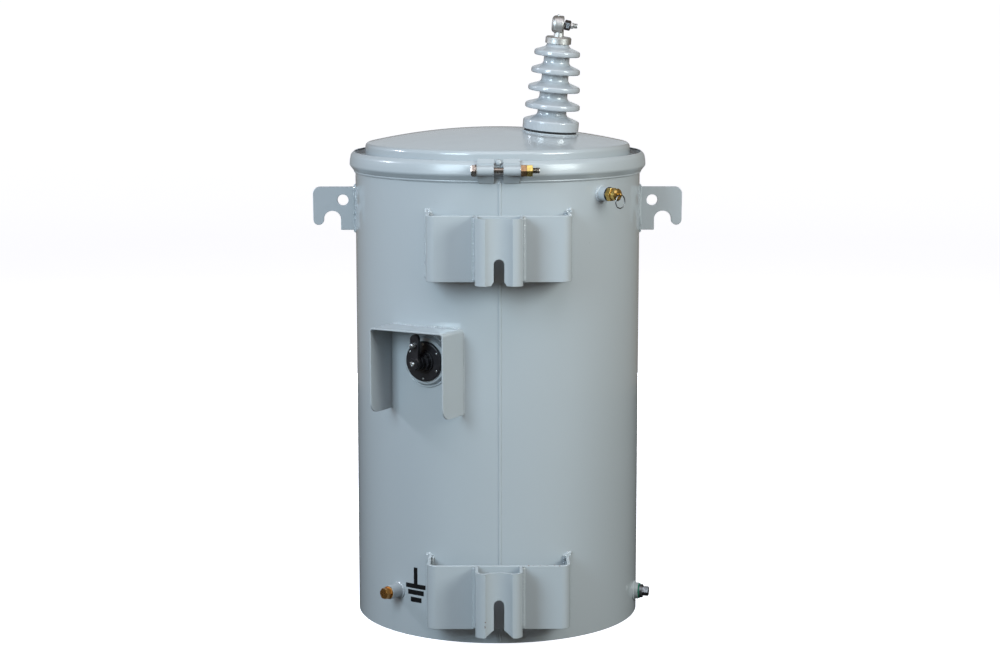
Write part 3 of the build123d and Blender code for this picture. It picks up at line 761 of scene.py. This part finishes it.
class TRANSFORMER_OT_cover(bpy.types.Operator):
    """Domed cover and its gasket"""

    bl_idname = "transformer.cover"
    bl_label = "Cover"

    def execute(self, context):
        sizes = settings("tank")
        low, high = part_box("tank_cover")
        rim, foot, crown, pan = high.x, low.z, high.z, sizes.pan_radius
        radius, level = measured(node_points("tank_cover"))
        curl_top = level[radius > rim - 2 * MM].max()
        shelf, inner_pan, wall_top = foot + sizes.sheet, pan - sizes.sheet, 6 * MM
        outer = pressed_pan(pan, crown, sizes.shoulder_round)
        inner = pressed_pan(inner_pan, crown - sizes.sheet, sizes.shoulder_round - sizes.sheet)
        edge = rounded([
            (pan, shelf + wall_top), (pan, shelf, 2.5), (rim - sizes.curl, shelf, 1),
            (rim - sizes.curl, curl_top, 1.5), (rim, curl_top, 2), (rim, foot, 1), (inner_pan, foot, 1),
            (inner_pan, foot + wall_top),
        ])
        dome = revolved(np.concatenate([outer, edge, inner[::-1]]), UPRIGHT, 360)
        add_piece("cover_dome", [dome], node="tank_cover")
        soften("cover_gasket", 0.3)
        return {"FINISHED"}


def band_ring():
    """The band's section carried round the rim, up to the gap at the bolt."""
    sizes = settings("tank")
    points = node_points("clamp_band")
    radius, level = measured(points)
    low, high = level.min(), level.max()
    outer, lip = radius.max(), radius[level > high - 0.1 * MM].min()
    foot = radius[level < low + 0.1 * MM].min()
    knee, inner = low + sizes.knee, outer - sizes.sheet
    thick_up = sizes.sheet * math.hypot(outer - foot, sizes.knee) / (outer - foot)
    inner_knee = low + thick_up + (inner - foot) * sizes.knee / (outer - foot)
    section = rounded([
        (foot, low, 0.3), (foot + 1.6 * MM, low, 0.7), (foot + 2.6 * MM, low + 2 * MM, 0.8),
        (foot + 2.4 * MM, low + 3.4 * MM, 0.6), (outer, knee, 7), (outer - 0.6 * MM, knee + 9 * MM, 40),
        (outer - 2.4 * MM, high - 7 * MM, 10), (lip, high, 1.2), (lip, high - sizes.sheet, 0.8),
        (inner, high - sizes.sheet, 6), (inner, inner_knee, 5), (foot, low + thick_up, 0.5),
    ], closed=True)
    gap = np.abs(points[np.abs(points[:, 1] + outer) < 1 * MM, 0]).min()
    half = math.asin(gap / outer)
    angle = np.linspace(-math.pi / 2 + half, 1.5 * math.pi - half, 540)[:, None]
    ring = closed_ends(axial(section[:, 0], angle, section[:, 1]))
    add_piece("clamp_band_ring", [ring], node="clamp_band", finish_name="band_paint")


def gap_stub():
    """Round-ended stub that stands out of the cover's rim, in the gap between the band's ends."""
    size = settings("fittings").stub
    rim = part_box("tank_cover")[1].x
    spot = place((0, 0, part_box("clamp_band")[1].z - 0.7 * size), (0, -1, 0), (1, 0, 0))
    foot, end = rim - 5 * MM, rim + 5 * MM
    stub = turned([(0, foot), (size, foot), (size, end, 0.95 * size / MM), (0, end)], spot, 32, 8.0)
    add_weld("band_gap_stub", [stub])


def band_bolt():
    """Hexagon head with its collar, and a shank cut with a thread at its far part. The head's corners
    face the front, as in the frame."""
    low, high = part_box("band_bolt")
    line = place((0, (low.y + high.y) / 2, (low.z + high.z) / 2), (1, 0, 0), (0, 1, 0))
    thread_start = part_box("band_nut")[0].x
    corner = (high.y - low.y) / 2
    chamfered, collar_radius, collar_height = corner * 0.82, corner * 0.98, 2 * MM
    wide, along = measured(local_points("band_bolt", line))
    radius = wide[along > thread_start].max()
    head_end = along[wide > 1.2 * radius].max()
    collar_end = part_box("band_lug_left")[0].x
    head = turned([
        (0, low.x), (chamfered, low.x, 0.4), (corner, low.x + 1.8 * MM, 0.4),
        (corner, head_end - collar_height), (0, head_end - collar_height),
    ], line, 6)
    collar_start = head_end - collar_height - 0.2 * MM
    collar = turned([
        (0, collar_start), (collar_radius, collar_start, 0.3), (collar_radius, collar_end, 0.3),
        (0, collar_end),
    ], line, 48)
    shank = turned([
        (0, collar_end), (radius, collar_end), (radius, thread_start), (0, thread_start),
    ], line, 40)
    thread = threaded(radius, settings("fittings").bolt_pitch, thread_start, high.x, line)
    add_piece(
        "band_bolt_thread", [head, collar, shank, thread], "zinc_steel", node="band_bolt",
        finish_name="bolt_steel",
    )


class TRANSFORMER_OT_clamp_band(bpy.types.Operator):
    """Clamp band, the lugs at its ends, and the bolt with its nuts"""

    bl_idname = "transformer.clamp_band"
    bl_label = "Clamp band"

    def execute(self, context):
        band_ring()
        gap_stub()
        soften_all(band_lug_left=0.9, band_lug_right=0.9)
        band_bolt()
        soften("band_nut", 0.35, "worn_bronze")
        soften("band_lock_nut", 0.35)
        return {"FINISHED"}


class TRANSFORMER_OT_lifting_lugs(bpy.types.Operator):
    """Lifting lugs with a weld bead down each side"""

    bl_idname = "transformer.lifting_lugs"
    bl_label = "Lifting lugs"

    def execute(self, context):
        radius = tank_radius()
        past_end, past_side = 5 * MM, 2 * MM
        grids = []
        for number, side in enumerate(("left", "right")):
            name = "lifting_lug_" + side
            soften(name, 0.7)
            low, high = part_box(name)
            sign = math.copysign(1, low.x)
            half = (high.y - low.y) / 2
            for face in (-1, 1):
                y = face * half
                x = sign * wall_depth(y)
                path = straight((x, y, low.z - past_end), (x, y, high.z + past_end))
                grids.append(fillet(path, (sign, face, 0), 20 + 4 * number + face, knobs=0.2))
            for z, up in ((high.z, 1), (low.z, -1)):
                x, y = sign * radius, half + past_side
                path = straight((x, -y, z), (x, y, z))
                grids.append(fillet(path, (sign, 0, up), 30 + 4 * number + up, 0.9, 0.9))
        add_weld("lifting_lug_welds", grids)
        return {"FINISHED"}


def flange_welds(side, low, high, seed):
    """Bead down the outside of a bow's end, one behind it, a short one across its top, and a heap of
    drops there."""
    radius = tank_radius()
    x = side * high.x
    y = -wall_depth(x)
    slope = np.array((x, y, 0)) / radius
    path = straight((x, y, low.z - 3 * MM), (x, y, high.z + 4 * MM))
    down = fillet(path, slope + (side, 0, 0), seed)
    top = np.array((x - side * 3 * MM, y + 1 * MM, high.z))
    across = np.array((-side * y, side * x, 0)) / radius
    path = straight(top - across * 8 * MM, top + across * 7 * MM, 0.4)
    over = fillet(path, slope + (0, 0, 1), seed + 3, ripple=3.4 * MM, knobs=0.3)
    inner = x - side * 6.5 * MM
    inside = np.array((inner, -wall_depth(inner), high.z + 3 * MM))
    path = straight(inside - (0, 0, 34 * MM), inside)
    behind = fillet(path, slope - (side, 0, 0), seed + 6, 1.2, 1.3, ripple=3.4 * MM, knobs=0.35)
    draw = np.random.default_rng(seed + 100)
    count = 8
    spread = draw.normal(size=(count, 3)) * (2.4 * MM, 1.2 * MM, 1.4 * MM)
    heap = top + spread[:, :1] * across + np.abs(spread[:, 1:2]) * slope + spread[:, 2:] * (0, 0, 1)
    heap[:, 2] += 1.8 * MM
    return [down, over, behind] + drops(heap, draw.uniform(2.8, 4.4, count) * MM, seed, 14, 10, 0.08)


def pad_weld(side, x, y, bottom, top, seed):
    """Thin bead down the edge of a pad, laid by hand, with drops where it swells near its ends."""
    x += side * 1.8 * MM
    path = straight((x, y, bottom + 1 * MM), (x, y, top - 1 * MM))
    down = fillet(path, (side, -1.6, 0), seed + 5, 1.15, 0.8, ripple=6 * MM, knobs=0.05)
    draw = np.random.default_rng(seed + 200)
    share = np.array([0.04, 0.1, 0.15, 0.9, 0.95, 0.99] if side < 0 else [0.96, 0.99])[:, None]
    start = np.array([x + side * 0.6 * MM, y - 1.6 * MM, bottom])
    knots = start + share * (0, 0, top - bottom) + draw.normal(size=(len(share), 3)) * (0.7 * MM, 0, 0)
    return [down] + drops(knots, draw.uniform(1.4, 2.5, len(share)) * MM, seed)


def weld_spatter():
    """Small drops of weld spatter under the paint, scattered round the brackets' flanges."""
    radius = tank_radius()
    draw = np.random.default_rng(7)
    count = 46
    upper, lower = middle("upper_hanger_bow")[2], middle("lower_hanger_bow")[2]
    upper_share, flange_azimuth = 0.6, math.radians(28.8)
    azimuth_spread, height_spread = 0.07, 45 * MM
    level = np.where(draw.random(count) < upper_share, upper, lower)
    side = np.where(draw.random(count) < 0.5, -1.0, 1.0)
    azimuth = side * (flange_azimuth + draw.normal(size=count) * azimuth_spread)
    height = level + draw.normal(size=count) * height_spread
    centres = axial(radius, azimuth - math.pi / 2, height)
    radii = draw.uniform(0.35, 1.0, count) ** 2 * settings("welds").spatter
    add_weld("weld_spatter", drops(centres, radii, 9, 8, 4))


def paint_chips():
    """Places where the paint is chipped off the lower bracket, down to brown primer: flat ragged spots,
    whose edge wanders by two sines. Three are beside the pad's slot, the others on the bow's top edge."""
    pad_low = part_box("lower_hanger_pad")[0]
    low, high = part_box("lower_hanger_bow")
    ridge = node_points("lower_hanger_pad")
    ridge_x = -abs(ridge[ridge[:, 1] < pad_low.y + 0.2 * MM, 0]).min()
    front = place((0, 0, 0), (0, -1, 0), (1, 0, 0))
    places = [
        (front, (ridge_x - left * MM, pad_low.z + up * MM, -pad_low.y), size)
        for left, up, size in ((0.4, 29, 0.9), (1.0, 22, 0.7), (0.8, 19.8, 0.9))
    ]
    draw = np.random.default_rng(12)
    for right in (52, 60, 72, 84, 97, 106):
        centre = (right * MM, low.y + draw.uniform(1.0, 4.5) * MM, high.z)
        places.append((UPRIGHT, centre, draw.uniform(0.7, 1.5)))
    angle = around(20)
    lift = np.array([0, 0, 0.12 * MM])
    grids = []
    for number, (facing, centre, size) in enumerate(places):
        ragged = size * MM * (1 + 0.3 * np.sin(3 * angle + number) + 0.2 * np.sin(5 * angle + 2 * number))
        rim = axial(ragged, angle, 0.0) * (1, 1.4, 1)
        grids.append(closed_ends(moved(np.stack([rim - 3 * lift, rim + lift]) + centre, facing)))
    add_piece("paint_chips", grids, finish_name="primer")


class TRANSFORMER_OT_hanger_brackets(bpy.types.Operator):
    """Hanger bows and pads with their weld beads, the lumps where the beads end, spatter and paint chips"""

    bl_idname = "transformer.hanger_brackets"
    bl_label = "Hanger brackets"

    def execute(self, context):
        grids = []
        for number, level in enumerate(("upper", "lower")):
            bow, pad = level + "_hanger_bow", level + "_hanger_pad"
            soften_all(**{bow: 0.9, pad: 0.9})
            low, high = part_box(bow)
            pad_low, pad_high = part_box(pad)
            for side in (-1, 1):
                seed = 50 + 10 * number + side
                grids += flange_welds(side, low, high, seed)
                x, y = side * pad_high.x, low.y
                grids += pad_weld(side, x, y, max(low.z, pad_low.z), min(high.z, pad_high.z), seed)
        add_weld("hanger_welds", grids)
        weld_spatter()
        paint_chips()
        return {"FINISHED"}


def boss_toe(spot):
    """Turned toe of the boss, a shallow cone that ends in a rounded rim on the tank. Its section is given
    as distance from the boss's middle and height over the wall, from the inside round the rim and back."""
    toe = settings("fittings").boss_toe
    inside = girth("tap_boss", spot) - 0.6 * MM
    rim_radius = 1.4 * MM
    turn = np.radians(np.linspace(160, -20, 13))
    rim = toe - rim_radius + rim_radius * np.cos(turn)
    across = np.concatenate([
        [inside, inside + 1.2 * MM, toe - 2.6 * rim_radius], rim, [toe, inside, inside],
    ])[:, None]
    over = np.concatenate([[8, 7.2, 1.2], 0.9 + 1.4 * np.sin(turn), [-1.5, -1.5, 8]])[:, None] * MM
    ring = on_wall(axial(across, around(160), 0.0), over)
    add_piece("tap_boss_toe", [moved(ring, spot)], sharp=50)


def tap_hood():
    """Folded sheet: a strip's cross section, from the wall to the front edge, carried along the arch of
    the hood. Near the foot the front edge runs back along a circle, which rounds the lower corners."""
    sizes = settings("hood")
    spot = wall_place_of("tap_hood")
    points = local_points("tap_hood", spot)
    (half, top, front), foot = points.max(axis=0), points[:, 1].min()
    slope = front - points[points[:, 1] < foot + 40 * MM, 2].max()
    side = foot + sizes.corner * (1 - np.cos(np.linspace(0, math.pi / 2, 14)))
    edge = np.concatenate([side, np.linspace(side[-1] + 1 * MM, top - sizes.bend - 1 * MM, 12)])
    left = np.stack([np.full_like(edge, -half), edge], -1)
    fold_foot = top - sizes.bend - 0.5 * MM
    fold = rounded([(-half, fold_foot), (-half, top, sizes.bend / MM), (0, top)])[1:-1]
    path = np.concatenate([left, fold, (fold * (-1, 1))[::-1], (left * (-1, 1))[::-1]])
    inward = unit(np.gradient(path, axis=0))[:, ::-1] * (1, -1)
    up = path[:, 1] - foot
    back_step = sizes.corner - np.sqrt(sizes.corner ** 2 - np.clip(sizes.corner - up, 0, None) ** 2)
    front_edge = front - slope * (1 - up / (top - foot)) - back_step
    # The section's points, its corners cut off: their way into the sheet, how far they lie behind the
    # front edge, and which of them are at the wall.
    cut, thick = 0.7 * MM, sizes.sheet
    depth_in = np.array([cut, 0, 0, cut, thick - cut, thick, thick, thick - cut])
    back = np.array([0, cut, 0, 0, 0, 0, cut, 0])
    at_wall = np.array([False, False, True, True, True, True, False, False])
    section = path[:, None] + depth_in[:, None] * inward[:, None]
    sheet = on_wall(section, -2 * MM)
    sheet[..., 2] = np.where(at_wall, sheet[..., 2], front_edge[:, None] - back)
    add_piece("tap_hood_sheet", [closed_ends(moved(sheet, spot))], node="tap_hood")
    hood_welds(spot, half, top, foot)


def hood_welds(spot, half, top, foot):
    """Thin beads down the outside of the hood's two sides and over its top, where it meets the tank."""
    turn = spot[:3, :3]
    grids = []
    for side in (-1, 1):
        ends = np.array([(side * half, foot + 1 * MM), (side * half, top - 5 * MM)])
        path = moved(straight(*on_wall(ends)), spot)
        grids.append(fillet(path, turn @ (side, 0, 0.7), 95 + side, 0.45, 0.3, knobs=0.5))
    x = np.linspace(-half + 6 * MM, half - 6 * MM, 260)
    over = moved(on_wall(np.stack([x, np.full_like(x, top)], -1)), spot)
    grids.append(fillet(over, turn @ (0, 1, 1), 98, 0.6, 0.6, ripple=5 * MM, knobs=0.3))
    add_weld("tap_hood_welds", grids)


def rim_screws(spot):
    """Pan head screws near the flange's rim."""
    wide, level = measured(local_points("tap_disc", spot))
    seat = level[wide > wide.max() - 3 * MM].max()
    screw = turned([
        (0, seat - 1 * MM), (2.2 * MM, seat - 1 * MM), (2.2 * MM, seat + 1.2 * MM, 1.1),
        (0, seat + 1.3 * MM),
    ], np.eye(4), 18, 14.0)
    away = axial(wide.max() - 5 * MM, math.radians(30) + around(settings("fittings").rim_screws), 0.0)
    add_piece("tap_flange_screws", list(moved(screw + away[:, None, None], spot)), "zinc_steel")


def handle_screws(spot):
    """Socket screw in the hub's end, and the locking screw with its nut on the lever."""
    points = local_points("tap_handle_screws", spot)
    hub = points[np.abs(points[:, 1]) < 8 * MM]
    lock = points[points[:, 1] > 20 * MM]
    radius, crown = (values.max() for values in measured(hub))
    seat = reach("tap_handle", spot)[1] - 3 * MM
    socket = turned([
        (0, seat), (radius, seat), (radius, crown, 1.6), (2.0 * MM, crown, 0.3),
        (1.7 * MM, crown - 2 * MM), (0, crown - 2.2 * MM),
    ], spot, 32, 12.0)
    line = spot.copy()
    line[:3, 3] += spot[:3, 1] * (lock[:, 1].max() + lock[:, 1].min()) / 2
    foot, head = lock[:, 2].min(), lock[:, 2].max()
    face = head - 4.5 * MM
    nut = turned([
        (0, face), (4.8 * MM, face, 0.3), (4.8 * MM, face + 2.8 * MM, 0.3),
        (4.0 * MM, face + 3.8 * MM, 0.3), (0, face + 3.8 * MM),
    ], line, 6, start=0.4)
    shank = threaded(2.5 * MM, 0.8 * MM, foot, head + 3 * MM, line, sides=20, steps=6)
    tip = turned([
        (0, head + 2.6 * MM), (4.3 * MM, head + 2.6 * MM, 0.3), (4.3 * MM, head + 6.4 * MM, 2.8),
        (0, head + 6.8 * MM),
    ], line, 24, 12.0)
    add_piece(
        "tap_handle_screws_turned", [socket, nut, shank, tip], "zinc_steel", node="tap_handle_screws",
    )


class TRANSFORMER_OT_tap_changer(bpy.types.Operator):
    """Tap changer under its sheet hood"""

    bl_idname = "transformer.tap_changer"
    bl_label = "Tap changer"

    def execute(self, context):
        soften_all(tap_boss=1.5, tap_disc=0.4, tap_collar=0.25, tap_handle=0.8)
        spot = wall_place_of("tap_boss")
        boss_toe(spot)
        tap_hood()
        rim_screws(spot)
        handle_screws(spot)
        return {"FINISHED"}


def bushing_porcelain(line):
    """Turned profile: a broad foot, then sheds whose rims and necks shrink evenly upwards."""
    sizes = settings("fittings")
    wide, level = measured(local_points("bushing_porcelain", line))
    foot, top = level.min(), level.max()
    shoulder = foot + sizes.foot_height
    corners = [(0, foot), (wide.max(), foot, 1.5), (wide.max(), shoulder, 3.5)]
    for i in range(sizes.sheds):
        shed = foot + sizes.first_shed + sizes.shed_pitch * i
        under = np.abs(level - (shed - 4.8 * MM)) < 0.6 * MM
        rim, neck = wide[under].max(), wide[under & (wide > 5 * MM)].min()
        below = shed - sizes.shed_pitch + 3.6 * MM if i else shoulder
        corners += [
            (neck + 0.2 * MM, below + 8.6 * MM, 7), (neck, shed - 4.4 * MM, 3.5),
            (rim, shed - 5.2 * MM, 3.4), (rim - 0.4 * MM, shed + 4.2 * MM, 4.2),
        ]
    crown = wide[np.abs(level - top) < 0.5 * MM].max()
    corners += [(crown, shed + 12 * MM, 8), (crown, top), (0, top)]
    add_piece(
        "porcelain_sheds", [turned(corners, line, 144, 7.0)], "porcelain_glaze",
        node="bushing_porcelain", sharp=60,
    )


def bushing_terminal(line):
    """Stem that widens a little downwards, a round head with a small cast nub, a collar, and a stud cut
    with a thread."""
    points = local_points("bushing_terminal", line)
    wide, level = measured(points)
    base = level.min()
    stem = wide[np.abs(level - base) < 0.5 * MM].max()
    nut = (middle("bushing_terminal_nut") - line[:3, 3]) @ line[:3, :3]
    run = unit(points[np.argmax(points[:, 0])] - nut)
    centre = nut - run * nut[0] / run[0]
    cross = place(moved(centre, line), line[:3, :3] @ run, line[:3, 1])
    near, end = reach("bushing_terminal", cross)
    wide, level = measured(local_points("bushing_terminal", cross))
    head = wide[level < near + 6 * MM].max()
    face, back = reach("bushing_terminal_nut", cross)
    post = turned([
        (0, base), (stem * 1.06, base), (stem * 0.94, centre[2] - 6 * MM), (0, centre[2]),
    ], line, 40)
    ball = turned([
        (0, near - 0.3 * MM), (head * 0.98, near + 0.4 * MM, 7), (head, face - 1 * MM, 2.5),
        (head * 0.7, face, 0.6), (0, face),
    ], cross, 56, 7.0)
    collar = turned([
        (0, back - 1 * MM), (6.4 * MM, back - 1 * MM), (6.4 * MM, back + 3.6 * MM, 1),
        (0, back + 3.8 * MM),
    ], cross, 6)
    stud = threaded(4.75 * MM, settings("fittings").stud_pitch, face, end, cross)
    nub = turned([
        (0, head - 2 * MM), (2.4 * MM, head - 2 * MM), (2.2 * MM, head + 1.6 * MM, 1.2),
        (0, head + 1.8 * MM),
    ], place(cross[:3, 3] - cross[:3, 2] * 3 * MM, line[:3, 2], line[:3, 0]), 20, 14.0)
    add_piece(
        "bushing_terminal_cast", [post, ball, collar, stud, nub], "tinned_alloy",
        node="bushing_terminal",
    )


class TRANSFORMER_OT_bushing(bpy.types.Operator):
    """High voltage bushing with its seat, cap and terminal"""

    bl_idname = "transformer.bushing"
    bl_label = "Bushing"

    def execute(self, context):
        axis = middle("bushing_cap") - middle("bushing_gasket")
        line = place(middle("bushing_gasket"), axis, (1, 0, 0))
        bushing_porcelain(line)
        soften_all(bushing_pad=1.2, bushing_gasket=0.7, bushing_cap=0.0)
        bushing_terminal(line)
        soften("bushing_terminal_nut", 0.4)
        return {"FINISHED"}


def pull_ring():
    """Round wire bent to a circle in a plane square to the out line."""
    low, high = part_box("relief_ring")
    wire = settings("fittings").ring_wire / 2
    spot = wall_place_of("relief_ring")
    spot[:3, 3] = middle("relief_ring")
    radius = (high.z - low.z) / 2 - wire
    path = moved(axial(radius, around(int(TURN * radius / (0.6 * MM)) - 1), 0.0), spot)
    add_piece(
        "pull_ring", [wire_ring(path, wire)], "zinc_steel", node="relief_ring",
        finish_name="dark_steel",
    )


class TRANSFORMER_OT_relief_valve(bpy.types.Operator):
    """Pressure relief valve with its pull ring"""

    bl_idname = "transformer.relief_valve"
    bl_label = "Relief valve"

    def execute(self, context):
        soften_all(relief_boss=0.8, relief_washer=0.3, relief_valve=0.5)
        add_weld("relief_boss_weld", [boss_bead("relief_boss", 120)])
        pull_ring()
        return {"FINISHED"}


class TRANSFORMER_OT_tank_fittings(bpy.types.Operator):
    """Ground bolt and drain plug on their bosses"""

    bl_idname = "transformer.tank_fittings"
    bl_label = "Ground and drain"

    def execute(self, context):
        soften_all(ground_boss=0.8, ground_bolt=0.5, drain_boss=0.8, drain_gasket=0.4, drain_plug=0.5)
        add_weld("fitting_welds", [boss_bead("ground_boss", 130), boss_bead("drain_boss", 136)])
        return {"FINISHED"}


def low_voltage_profile(foot, face):
    """A clamped foot, then two sheds that shrink outwards, all with rounded rims. Each shed has its neck's
    radius, its rim's radius and its distance from the foot."""
    corners = [(0, 0), (31, 0, 0.8), (31, 12, 2), (22, 15.5, 3)]
    for neck, rim, along in ((22, 29, 22), (21, 27, 40)):
        corners += [
            (neck, along, 1.5), (rim, along - 0.4, 2.6), (rim, along + 7, 3), (neck - 1, along + 11, 3),
        ]
    corners[-1] = (15.5, 54, 3)
    corners = [(wide * MM, foot + along * MM, *radius) for wide, along, *radius in corners]
    return corners + [(15 * MM, face), (0, face)]


class TRANSFORMER_OT_low_voltage(bpy.types.Operator):
    """Low voltage bushings on the side away from the pole"""

    bl_idname = "transformer.low_voltage"
    bl_label = "Low voltage bushings"

    def execute(self, context):
        soften_all(low_voltage_bosses=0.8, low_voltage_terminals=0.5)
        low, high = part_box("low_voltage_bushings")
        corners = low_voltage_profile(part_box("low_voltage_bosses")[1].y, high.y)
        spacing = settings("fittings").low_spacing
        grids = [
            turned(corners, wall_place(math.pi + step * spacing, (low.z + high.z) / 2), 96, 8.0)
            for step in (-1, 0, 1)
        ]
        add_piece("low_voltage_sheds", grids, "porcelain_glaze", node="low_voltage_bushings", sharp=60)
        return {"FINISHED"}


def sign_stroke(left, right, bottom, top):
    """Film of paint bent to the wall: a flat strip whose across is an arc length round the tank."""
    radius, film = tank_radius(), 0.15 * MM
    arc = np.linspace(left, right, max(6, int((right - left) / (1.5 * MM))))[:, None]
    out, height = np.array([(film, bottom), (film, top), (-film, top), (-film, bottom)]).T
    return closed_ends(axial(radius + out, arc / radius - math.pi / 2, height))


class TRANSFORMER_OT_earth_sign(bpy.types.Operator):
    """Stencilled earth sign beside the ground boss"""

    bl_idname = "transformer.earth_sign"
    bl_label = "Earth sign"

    def execute(self, context):
        # The stem and three bars: left and right as arc lengths from the front, bottom and top, in mm.
        strokes = (
            (-160.9, -152.8, 94.0, 126.4), (-179.0, -135.8, 87.7, 96.1),
            (-174.0, -139.4, 76.0, 84.8), (-168.0, -144.4, 62.6, 71.6),
        )
        grids = [sign_stroke(*(value * MM for value in stroke)) for stroke in strokes]
        add_piece("earth_sign", grids, finish_name="stencil")
        return {"FINISHED"}


class TRANSFORMER_OT_rest(bpy.types.Operator):
    """Finishes of the frame's own pieces that are shown as they are"""

    bl_idname = "transformer.rest"
    bl_label = "Other pieces"

    def execute(self, context):
        for name, piece in NODES.items():
            if not piece.hide_render:
                piece.data.materials.clear()
                piece.data.materials.append(finish(SLOT_OF_NODE[name]))
        return {"FINISHED"}


def add_studio():
    """A round floor that curves up into a wall. Only the camera sees it, so it takes no part in the light on
    the object. A dark cloth round the object's foot, which the camera doesn't see, does."""
    room = turned([(0, 0), (9.0, 0, 2500), (9.0, 9.0)], UPRIGHT)
    floor = mesh_from_grids("studio_floor", [room])
    floor.flip_normals()
    floor.shade_smooth()
    cloth_edge = [(0, -2 * MM), (2.5, -2 * MM, 4), (2.5, -12 * MM, 4), (0, -12 * MM)]
    cloth = mesh_from_grids("studio_cloth", [turned(cloth_edge, UPRIGHT)])
    for mesh, finish_name, unseen_by in (
        (floor, "floor", ("diffuse", "glossy", "transmission", "shadow")), (cloth, "cloth", ("camera",)),
    ):
        mesh.materials.append(finish(finish_name))
        piece = linked(mesh.name, mesh)
        for ray in unseen_by:
            setattr(piece, "visible_" + ray, False)


def add_lights(scene):
    """Soft boxes: azimuth, distance, height, size across and up, power and colour. The box at the back is
    for the side away from the camera, so it stays below the cover and out of the paint's gloss."""
    boxes = (
        ("left_box", -36.0, 3.0, 1.75, 1.2, 1.6, 66.0, (0.80, 1.0, 1.13)),
        ("right_box", 50.0, 3.0, 1.75, 1.25, 1.35, 70.0, (0.92, 1.0, 0.98)),
        ("top_box", 0.0, 1.6, 2.9, 2.6, 2.0, 24.0, (1.0, 0.94, 1.0)),
        ("side_lamp", -95.0, 2.6, 1.80, 0.30, 0.30, 20.0, (0.95, 1.0, 1.1)),
        ("back_card", 180.0, 4.0, 2.30, 2.4, 2.6, 8.0, (0.86, 1.0, 1.12)),
        ("back_box", 180.0, 2.6, 0.45, 2.8, 0.9, 45.0, (0.95, 1.0, 1.05)),
    )
    target = Vector((0, 0, 0.6))
    for name, azimuth, distance, height, across, up, power, tint in boxes:
        data = bpy.data.lights.new(name, "AREA")
        data.shape = "RECTANGLE"
        data.size, data.size_y = across, up
        data.energy, data.color = power, tint
        lamp = linked(name, data)
        turn = math.radians(azimuth)
        lamp.location = (math.sin(turn) * distance, -math.cos(turn) * distance, height)
        lamp.rotation_euler = (target - lamp.location).to_track_quat("-Z", "Y").to_euler()
        lamp.visible_camera = False
        lamp.visible_glossy = name != "back_box"
    world = bpy.data.worlds.new("studio")
    world.use_nodes = True
    scene.world = world
    background = world.node_tree.nodes["Background"]
    background.inputs["Color"].default_value = (1.0, 0.83, 0.66, 1)
    background.inputs["Strength"].default_value = 0.165
    scene.view_settings.view_transform = "Standard"


def add_camera(scene):
    """Long lens a little above the cover, looking down along the brackets' side."""
    camera = bpy.data.cameras.new("camera")
    camera.lens = 79.82
    camera.sensor_width = 36.0
    scene.camera = linked("camera", camera)
    scene.camera.location = (-0.0269, -4.0536, 1.1361)
    scene.camera.rotation_euler = (math.radians(90 - 8.686), 0, math.radians(-0.443))


class TRANSFORMER_OT_stage(bpy.types.Operator):
    """Pale studio floor and wall, soft light and the camera"""

    bl_idname = "transformer.stage"
    bl_label = "Stage"

    def execute(self, context):
        add_studio()
        add_lights(context.scene)
        add_camera(context.scene)
        return {"FINISHED"}


class TRANSFORMER_PT_panel(bpy.types.Panel):
    bl_idname = "TRANSFORMER_PT_panel"
    bl_label = "Transformer"
    bl_space_type = "VIEW_3D"
    bl_region_type = "UI"
    bl_category = "Transformer"

    def draw(self, context):
        for group in GROUPS:
            box = self.layout.box()
            box.label(text=group.capitalize())
            for name in GROUPS[group].__annotations__:
                box.prop(settings(group), name)
        for operator in OPERATORS:
            self.layout.operator(operator.bl_idname)


GROUPS = {
    "tank": TRANSFORMER_PG_tank,
    "hood": TRANSFORMER_PG_hood,
    "welds": TRANSFORMER_PG_welds,
    "fittings": TRANSFORMER_PG_fittings,
    "finishes": TRANSFORMER_PG_finishes,
}
OPERATORS = (
    TRANSFORMER_OT_tank, TRANSFORMER_OT_cover, TRANSFORMER_OT_clamp_band, TRANSFORMER_OT_lifting_lugs,
    TRANSFORMER_OT_hanger_brackets, TRANSFORMER_OT_tap_changer, TRANSFORMER_OT_bushing,
    TRANSFORMER_OT_relief_valve, TRANSFORMER_OT_tank_fittings, TRANSFORMER_OT_low_voltage,
    TRANSFORMER_OT_earth_sign, TRANSFORMER_OT_rest, TRANSFORMER_OT_stage,
)
CLASSES = (*GROUPS.values(), *OPERATORS, TRANSFORMER_PT_panel)


def register():
    for item in CLASSES:
        bpy.utils.register_class(item)
    for group, kind in GROUPS.items():
        setattr(bpy.types.Scene, "transformer_" + group, PointerProperty(type=kind))


def unregister():
    for group in GROUPS:
        delattr(bpy.types.Scene, "transformer_" + group)
    for item in reversed(CLASSES):
        bpy.utils.unregister_class(item)


def main():
    register()
    for operator in OPERATORS:
        group, name = operator.bl_idname.split(".")
        getattr(getattr(bpy.ops, group), name)()


if __name__ == "__main__":
    main()
